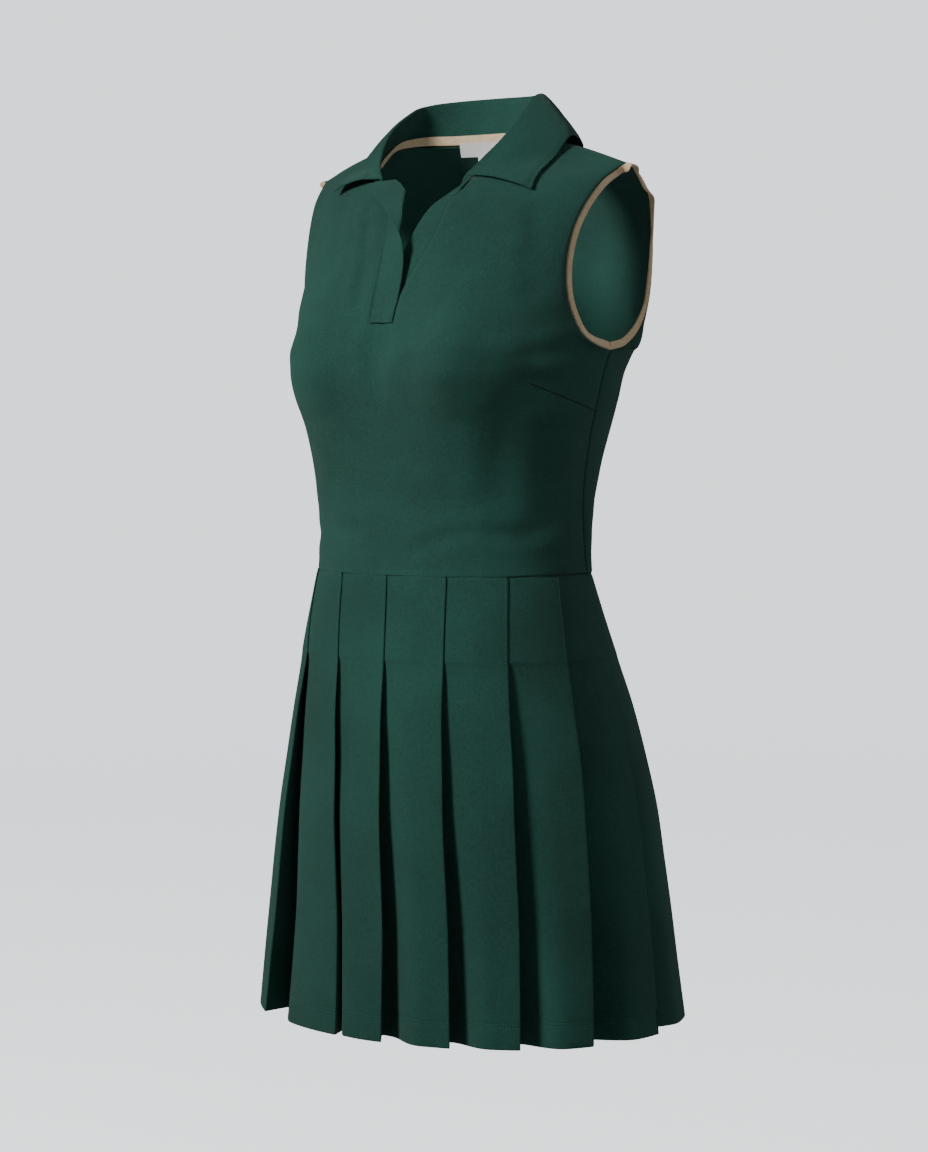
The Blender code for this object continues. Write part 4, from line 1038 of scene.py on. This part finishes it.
def folds_at(z, angle, length):
    """Where the folds lie along the ring, with the one before and the one after."""
    hold = np.clip((WAIST_Z - z) / (WAIST_Z - RELEASE_Z), 0, 1)
    down = np.clip((RELEASE_Z - z) / (RELEASE_Z - HEM_Z), 0, 1)
    front_angles = []
    for (waist, release, hem, _, _), middle in zip(FOLDS, FOLD_MIDDLES):
        held = waist + (release - waist) * hold + middle * 4 * down * (1 - down)
        front_angles.append(math.radians(held + (hem - release) * down))
    places = np.interp(front_angles, angle, length)
    once = np.interp(angle[0] + 2 * math.pi, angle, length)
    gap = places[0] + once - places[-1]
    behind = [places[-1] + gap * (waist + (hem - waist) * down) for waist, hem, _, _ in BACK_FOLDS_AT]
    places = np.concatenate([places, behind, [places[0] + once]])
    return np.concatenate([[places[-2] - once], places])


angle, _, length = ring_at(WAIST_Z)
under = np.minimum(UNDERLAY, 0.62 * np.diff(folds_at(WAIST_Z, angle, length))[:-1])


def skirt_line(z, firsts, lasts):
    """The cloth's middle line at a height, from one fold to another."""
    angle, points, length = ring_at(z)
    down = np.clip((RELEASE_Z - z) / (RELEASE_Z - HEM_Z), 0, 1)
    folds = folds_at(z, angle, length)

    def place(s, inset):
        s = np.atleast_1d(np.asarray(s, float))
        p = np.stack([np.interp(s, length, points[:, i]) for i in range(2)], -1)
        q = np.stack([np.interp(s + 0.001, length, points[:, i]) for i in range(2)], -1)
        r = np.stack([np.interp(s - 0.001, length, points[:, i]) for i in range(2)], -1)
        t = unit(q - r)
        n = np.stack([t[..., 1], -t[..., 0]], -1)
        return p - n * (CAD_CLOTH / 2 + np.asarray(inset))[..., None]

    line = []
    for i in range(firsts, lasts):
        depth, soon = depths[i]
        lift = math.asin(min(depth / under[i], 0.985)) * down**0.6
        back_off = under[i] * math.cos(lift)
        inward = under[i] * math.sin(lift)
        start = folds[i + 1]
        wide = folds[i + 2] - start
        slope = 2 * LAYER_STEP / (start - folds[i])
        t = np.array(UNDER_PLACES)
        line.append(place([start], [0.0]))
        line.append(place(start - back_off * t, LAYER_STEP + (slope * back_off + inward) * t))
        share = PANEL_PLACES
        s = (back_off + wide) * share
        closed = np.where(s < back_off, 2 * LAYER_STEP + slope * (back_off - s),
                          2 * LAYER_STEP * (1 - (s - back_off) / wide))
        rise = 1 - smooth_step(share, 0.12, soon + 0.06)
        ease = down**0.8
        inset = closed + inward * ((1 - share) * (1 - ease) + rise * ease)
        # Each panel hangs in its own uneven way, and shows the fold that lies beneath it
        sway = 0.0016 * down * np.sin(math.pi * share) ** 2 * math.sin(2.3 * i + 9.0 * z)
        sway = sway + 0.0008 * down * np.sin(2 * math.pi * share) * math.sin(1.7 * i + 17.0 * z)
        beneath = folds[i + 2] - under[min(i + 1, len(under) - 1)]
        show = -0.0004 * (1 - 0.8 * down) * np.exp(-(((start - back_off + s) - beneath) / 0.0032) ** 2)
        line.append(place(start - back_off + s, inset + sway + show))
    line.append(place([folds[lasts + 1]], [0.0]))
    line = np.concatenate(line)
    for _ in range(2):
        line[1:-1] = (line[:-2] + 2 * line[1:-1] + line[2:]) / 4
    return line


def moved_sideways(line, distance):
    """The line moved sideways, with its corners kept even."""
    ahead = unit(np.diff(line, axis=0))
    side = np.stack([ahead[:, 1], -ahead[:, 0]], 1)
    first = np.concatenate([side[:1], side])
    second = np.concatenate([side, side[-1:]])
    both = unit(first + second)
    length = np.clip((both * first).sum(1), 0.75, 1.0)
    return line + both * (np.asarray(distance) / length)[:, None], both


# Heights of the rows of cloth, closer at the hem's two rows of stitches and the seams
HEM_HEIGHTS = (0.0, 0.0004, 0.0011, 0.0030, 0.0070, 0.0120, 0.0165, 0.0186, 0.0192, 0.0197,
               0.0202, 0.0208, 0.0217, 0.0223, 0.0228, 0.0233, 0.0240, 0.0270)
WAIST_DROPS = (0.0040, 0.0028, 0.0018, 0.0011, 0.0006)
heights = np.concatenate([
    HEM_Z + np.array(HEM_HEIGHTS),
    np.linspace(HEM_Z + 0.0315, RELEASE_Z - 0.004, 62),
    RELEASE_Z + np.array((-0.002, 0.0, 0.002)),
    np.linspace(RELEASE_Z + 0.007, WAIST_Z - 0.006, 12),
    WAIST_Z - np.array(WAIST_DROPS),
])[::-1]


def skirt(name, node, firsts, lasts):
    """One half of the skirt as a wall of cloth, doubled at the hem and sunk at its seams."""
    outer, inner = [], []
    for z in heights:
        line = skirt_line(z, firsts, lasts)
        line[-1] -= unit(line[-1] - line[-2]) * (SKIRT_CLOTH / 2 + SEAM_GAP + 0.0004)
        from_hem = z - HEM_Z
        sunk = 0.00022 * sum(math.exp(-(((from_hem - row) / 0.0007) ** 2)) for row in HEM_ROWS)
        sunk += 0.0016 * math.exp(-(WAIST_Z - z) / 0.0013) + 0.00045 * math.exp(-((from_hem / 0.0007) ** 2))
        double = 0.0008 if from_hem < 0.0225 else 0.0
        rim = 0.0006 * math.exp(-((from_hem / 0.0007) ** 2))
        upper, _ = moved_sideways(line, np.full(len(line), SKIRT_CLOTH / 2 - sunk))
        inside = -SKIRT_CLOTH / 2 - double - min(sunk, 0.0012) + rim
        lower, _ = moved_sideways(line, np.full(len(line), inside))
        outer.append(np.concatenate([upper, np.full((len(line), 1), z)], 1))
        inner.append(np.concatenate([lower, np.full((len(line), 1), z)], 1))
    outer, inner = np.array(outer), np.array(inner)
    keep = np.ones((outer.shape[0] - 1, outer.shape[1] - 1), bool)
    piece = cloth_wall(name, outer, inner, keep, BODY_KNIT)
    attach(piece, "root")
    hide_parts(node)
    return piece, outer


front_skirt, front_outer = skirt("skirt_front_cloth", "skirt_front", 0, FRONT_PLEATS)
back_skirt, back_outer = skirt("skirt_back_cloth", "skirt_back", FRONT_PLEATS, len(depths))

# The skirt's sewing: an edge stitch beside each fold down to the release, with a short
# tack across its end, and two rows of stitches round the hem.
EDGE_STITCH = 0.0016
TACK = 0.0022
MIDDLE_PLACE = 12
for name, outer, piece, flat in (("front", front_outer, front_skirt, (0.860, 0.445)),
                                 ("back", back_outer, back_skirt, (0.900, 0.445))):
    facing = grid_normals(outer, np.ones((outer.shape[0] - 1, outer.shape[1] - 1), bool))
    lines = []
    columns = outer.shape[1]
    per_panel = 1 + len(UNDER_PLACES) + len(PANEL_PLACES)
    held = np.nonzero(heights > RELEASE_Z - 0.001)[0]
    panels = (columns - 1) // per_panel
    for i in range(1, panels + 1):
        column = min(i * per_panel, columns - 1)
        line, out = [], []
        for row in held:
            toward = outer[row, column - 5] - outer[row, column - 1]
            along = toward / max(np.linalg.norm(toward), 1e-9)
            n = facing[row, column - 4]
            n = n if n[:2] @ outer[row, column][:2] > 0 else -n
            line.append(outer[row, column - 1] + along * EDGE_STITCH + n * 0.0001)
            out.append(n)
        line, out = np.array(line), np.array(out)
        lines.append((line[1:], out[1:]))
        side = unit(outer[held[-1], column - 6] - outer[held[-1], column - 1])
        end = line[-1]
        lines.append((np.array([end, end + side * TACK, end + side * 2 * TACK]), out[-1:].repeat(3, 0)))
    pleat_stitches = sew("pleat_stitches_" + name, lines, 0.0027, 0.0020, 0.0006, 0.0005, GREEN_SEWING, 11)
    lines = []
    for height in HEM_ROWS:
        row = int(np.argmin(np.abs(heights - HEM_Z - height)))
        out = facing[row] * (1, 1, 0)
        middle = facing[row, per_panel - MIDDLE_PLACE]
        point = outer[row, per_panel - MIDDLE_PLACE]
        if middle[:2] @ point[:2] < 0:
            out = -out
        lines.append((outer[row] + unit(out) * 0.00015, out))
    hem_stitches = sew("hem_stitches_" + name, lines, 0.0030, 0.0024, 0.0006, 0.0005, GREEN_SEWING, 13)

# The studio: a pale bowl-shaped floor, a large soft light high on the camera's left, a
# weak fill and a soft rim from behind, and the camera on the wearer's left front.
FLOOR_Z = -1.15
profile = [(0.0, 0.0), (2.0, 0.0), (4.2, 0.0)]
profile += [(4.2 + 1.3 * math.sin(a), 1.3 - 1.3 * math.cos(a)) for a in np.linspace(0.1, math.pi / 2, 12)]
profile += [(5.5, 2.2), (5.5, 3.2)]
segments = 72
points = [(0, 0, FLOOR_Z)]
for radius, height in profile[1:]:
    for k in range(segments):
        turn = 2 * math.pi * k / segments
        points.append((radius * math.cos(turn), radius * math.sin(turn), FLOOR_Z + height))
faces = [(0, 1 + k, 1 + (k + 1) % segments) for k in range(segments)]
for ring_number in range(len(profile) - 2):
    a, b = 1 + ring_number * segments, 1 + (ring_number + 1) * segments
    faces += [(a + k, b + k, b + (k + 1) % segments, a + (k + 1) % segments) for k in range(segments)]
mesh = bpy.data.meshes.new("floor")
mesh.from_pydata(points, [], faces)
mesh.polygons.foreach_set("use_smooth", [True] * len(mesh.polygons))
floor = bpy.data.objects.new("floor", mesh)
bpy.context.scene.collection.objects.link(floor)
paint, _, shader = new_material("pale_floor")
shader.inputs["Base Color"].default_value = (0.80, 0.815, 0.83, 1)
shader.inputs["Roughness"].default_value = 0.9
shader.inputs["Emission Color"].default_value = (0.93, 0.97, 1.0, 1)
shader.inputs["Emission Strength"].default_value = 1.35
mesh.materials.append(paint)
floor.visible_diffuse = False
floor.visible_glossy = False

world = bpy.data.worlds.new("studio")
bpy.context.scene.world = world
world.use_nodes = True
sky = world.node_tree.nodes["Background"]
sky.inputs["Color"].default_value = (0.95, 0.98, 1.0, 1)
sky.inputs["Strength"].default_value = 0.13


def soft_light(name, place, aim, size, power, colour):
    data = bpy.data.lights.new(name, "AREA")
    data.shape = "DISK"
    data.size = size
    data.energy = power
    data.color = colour
    light = bpy.data.objects.new(name, data)
    light.location = place
    light.rotation_euler = (Vector(aim) - Vector(place)).to_track_quat("-Z", "Y").to_euler()
    bpy.context.scene.collection.objects.link(light)


soft_light("key", (-0.95, -2.65, 1.25), (0, 0, -0.4), 0.9, 118, (1.0, 0.99, 0.97))
soft_light("fill", (2.4, -2.2, 0.3), (0, 0, -0.4), 2.2, 11, (0.95, 0.98, 1.0))
soft_light("rim", (2.3, 1.5, 0.6), (0, 0, -0.4), 1.0, 12, (1.0, 1.0, 1.0))

inside = bpy.data.lights.new("inside", "POINT")
inside.energy = 0.30
inside.shadow_soft_size = 0.06
glow = bpy.data.objects.new("inside", inside)
glow.location = (0.0, -0.01, -0.22)
bpy.context.scene.collection.objects.link(glow)

CAMERA_TURN = math.radians(36)
CAMERA_AWAY = 2.77
CAMERA_Z = -0.244
camera_data = bpy.data.cameras.new("camera")
camera = bpy.data.objects.new("camera", camera_data)
bpy.context.scene.collection.objects.link(camera)
camera.location = (CAMERA_AWAY * math.sin(CAMERA_TURN), -CAMERA_AWAY * math.cos(CAMERA_TURN), CAMERA_Z)
camera.rotation_euler = (math.pi / 2, 0, CAMERA_TURN)
camera_data.lens = 90.2
camera_data.sensor_width = 36.0
camera_data.shift_x = -0.0009
camera_data.shift_y = -0.1415
camera_data.clip_end = 50.0
bpy.context.scene.camera = camera
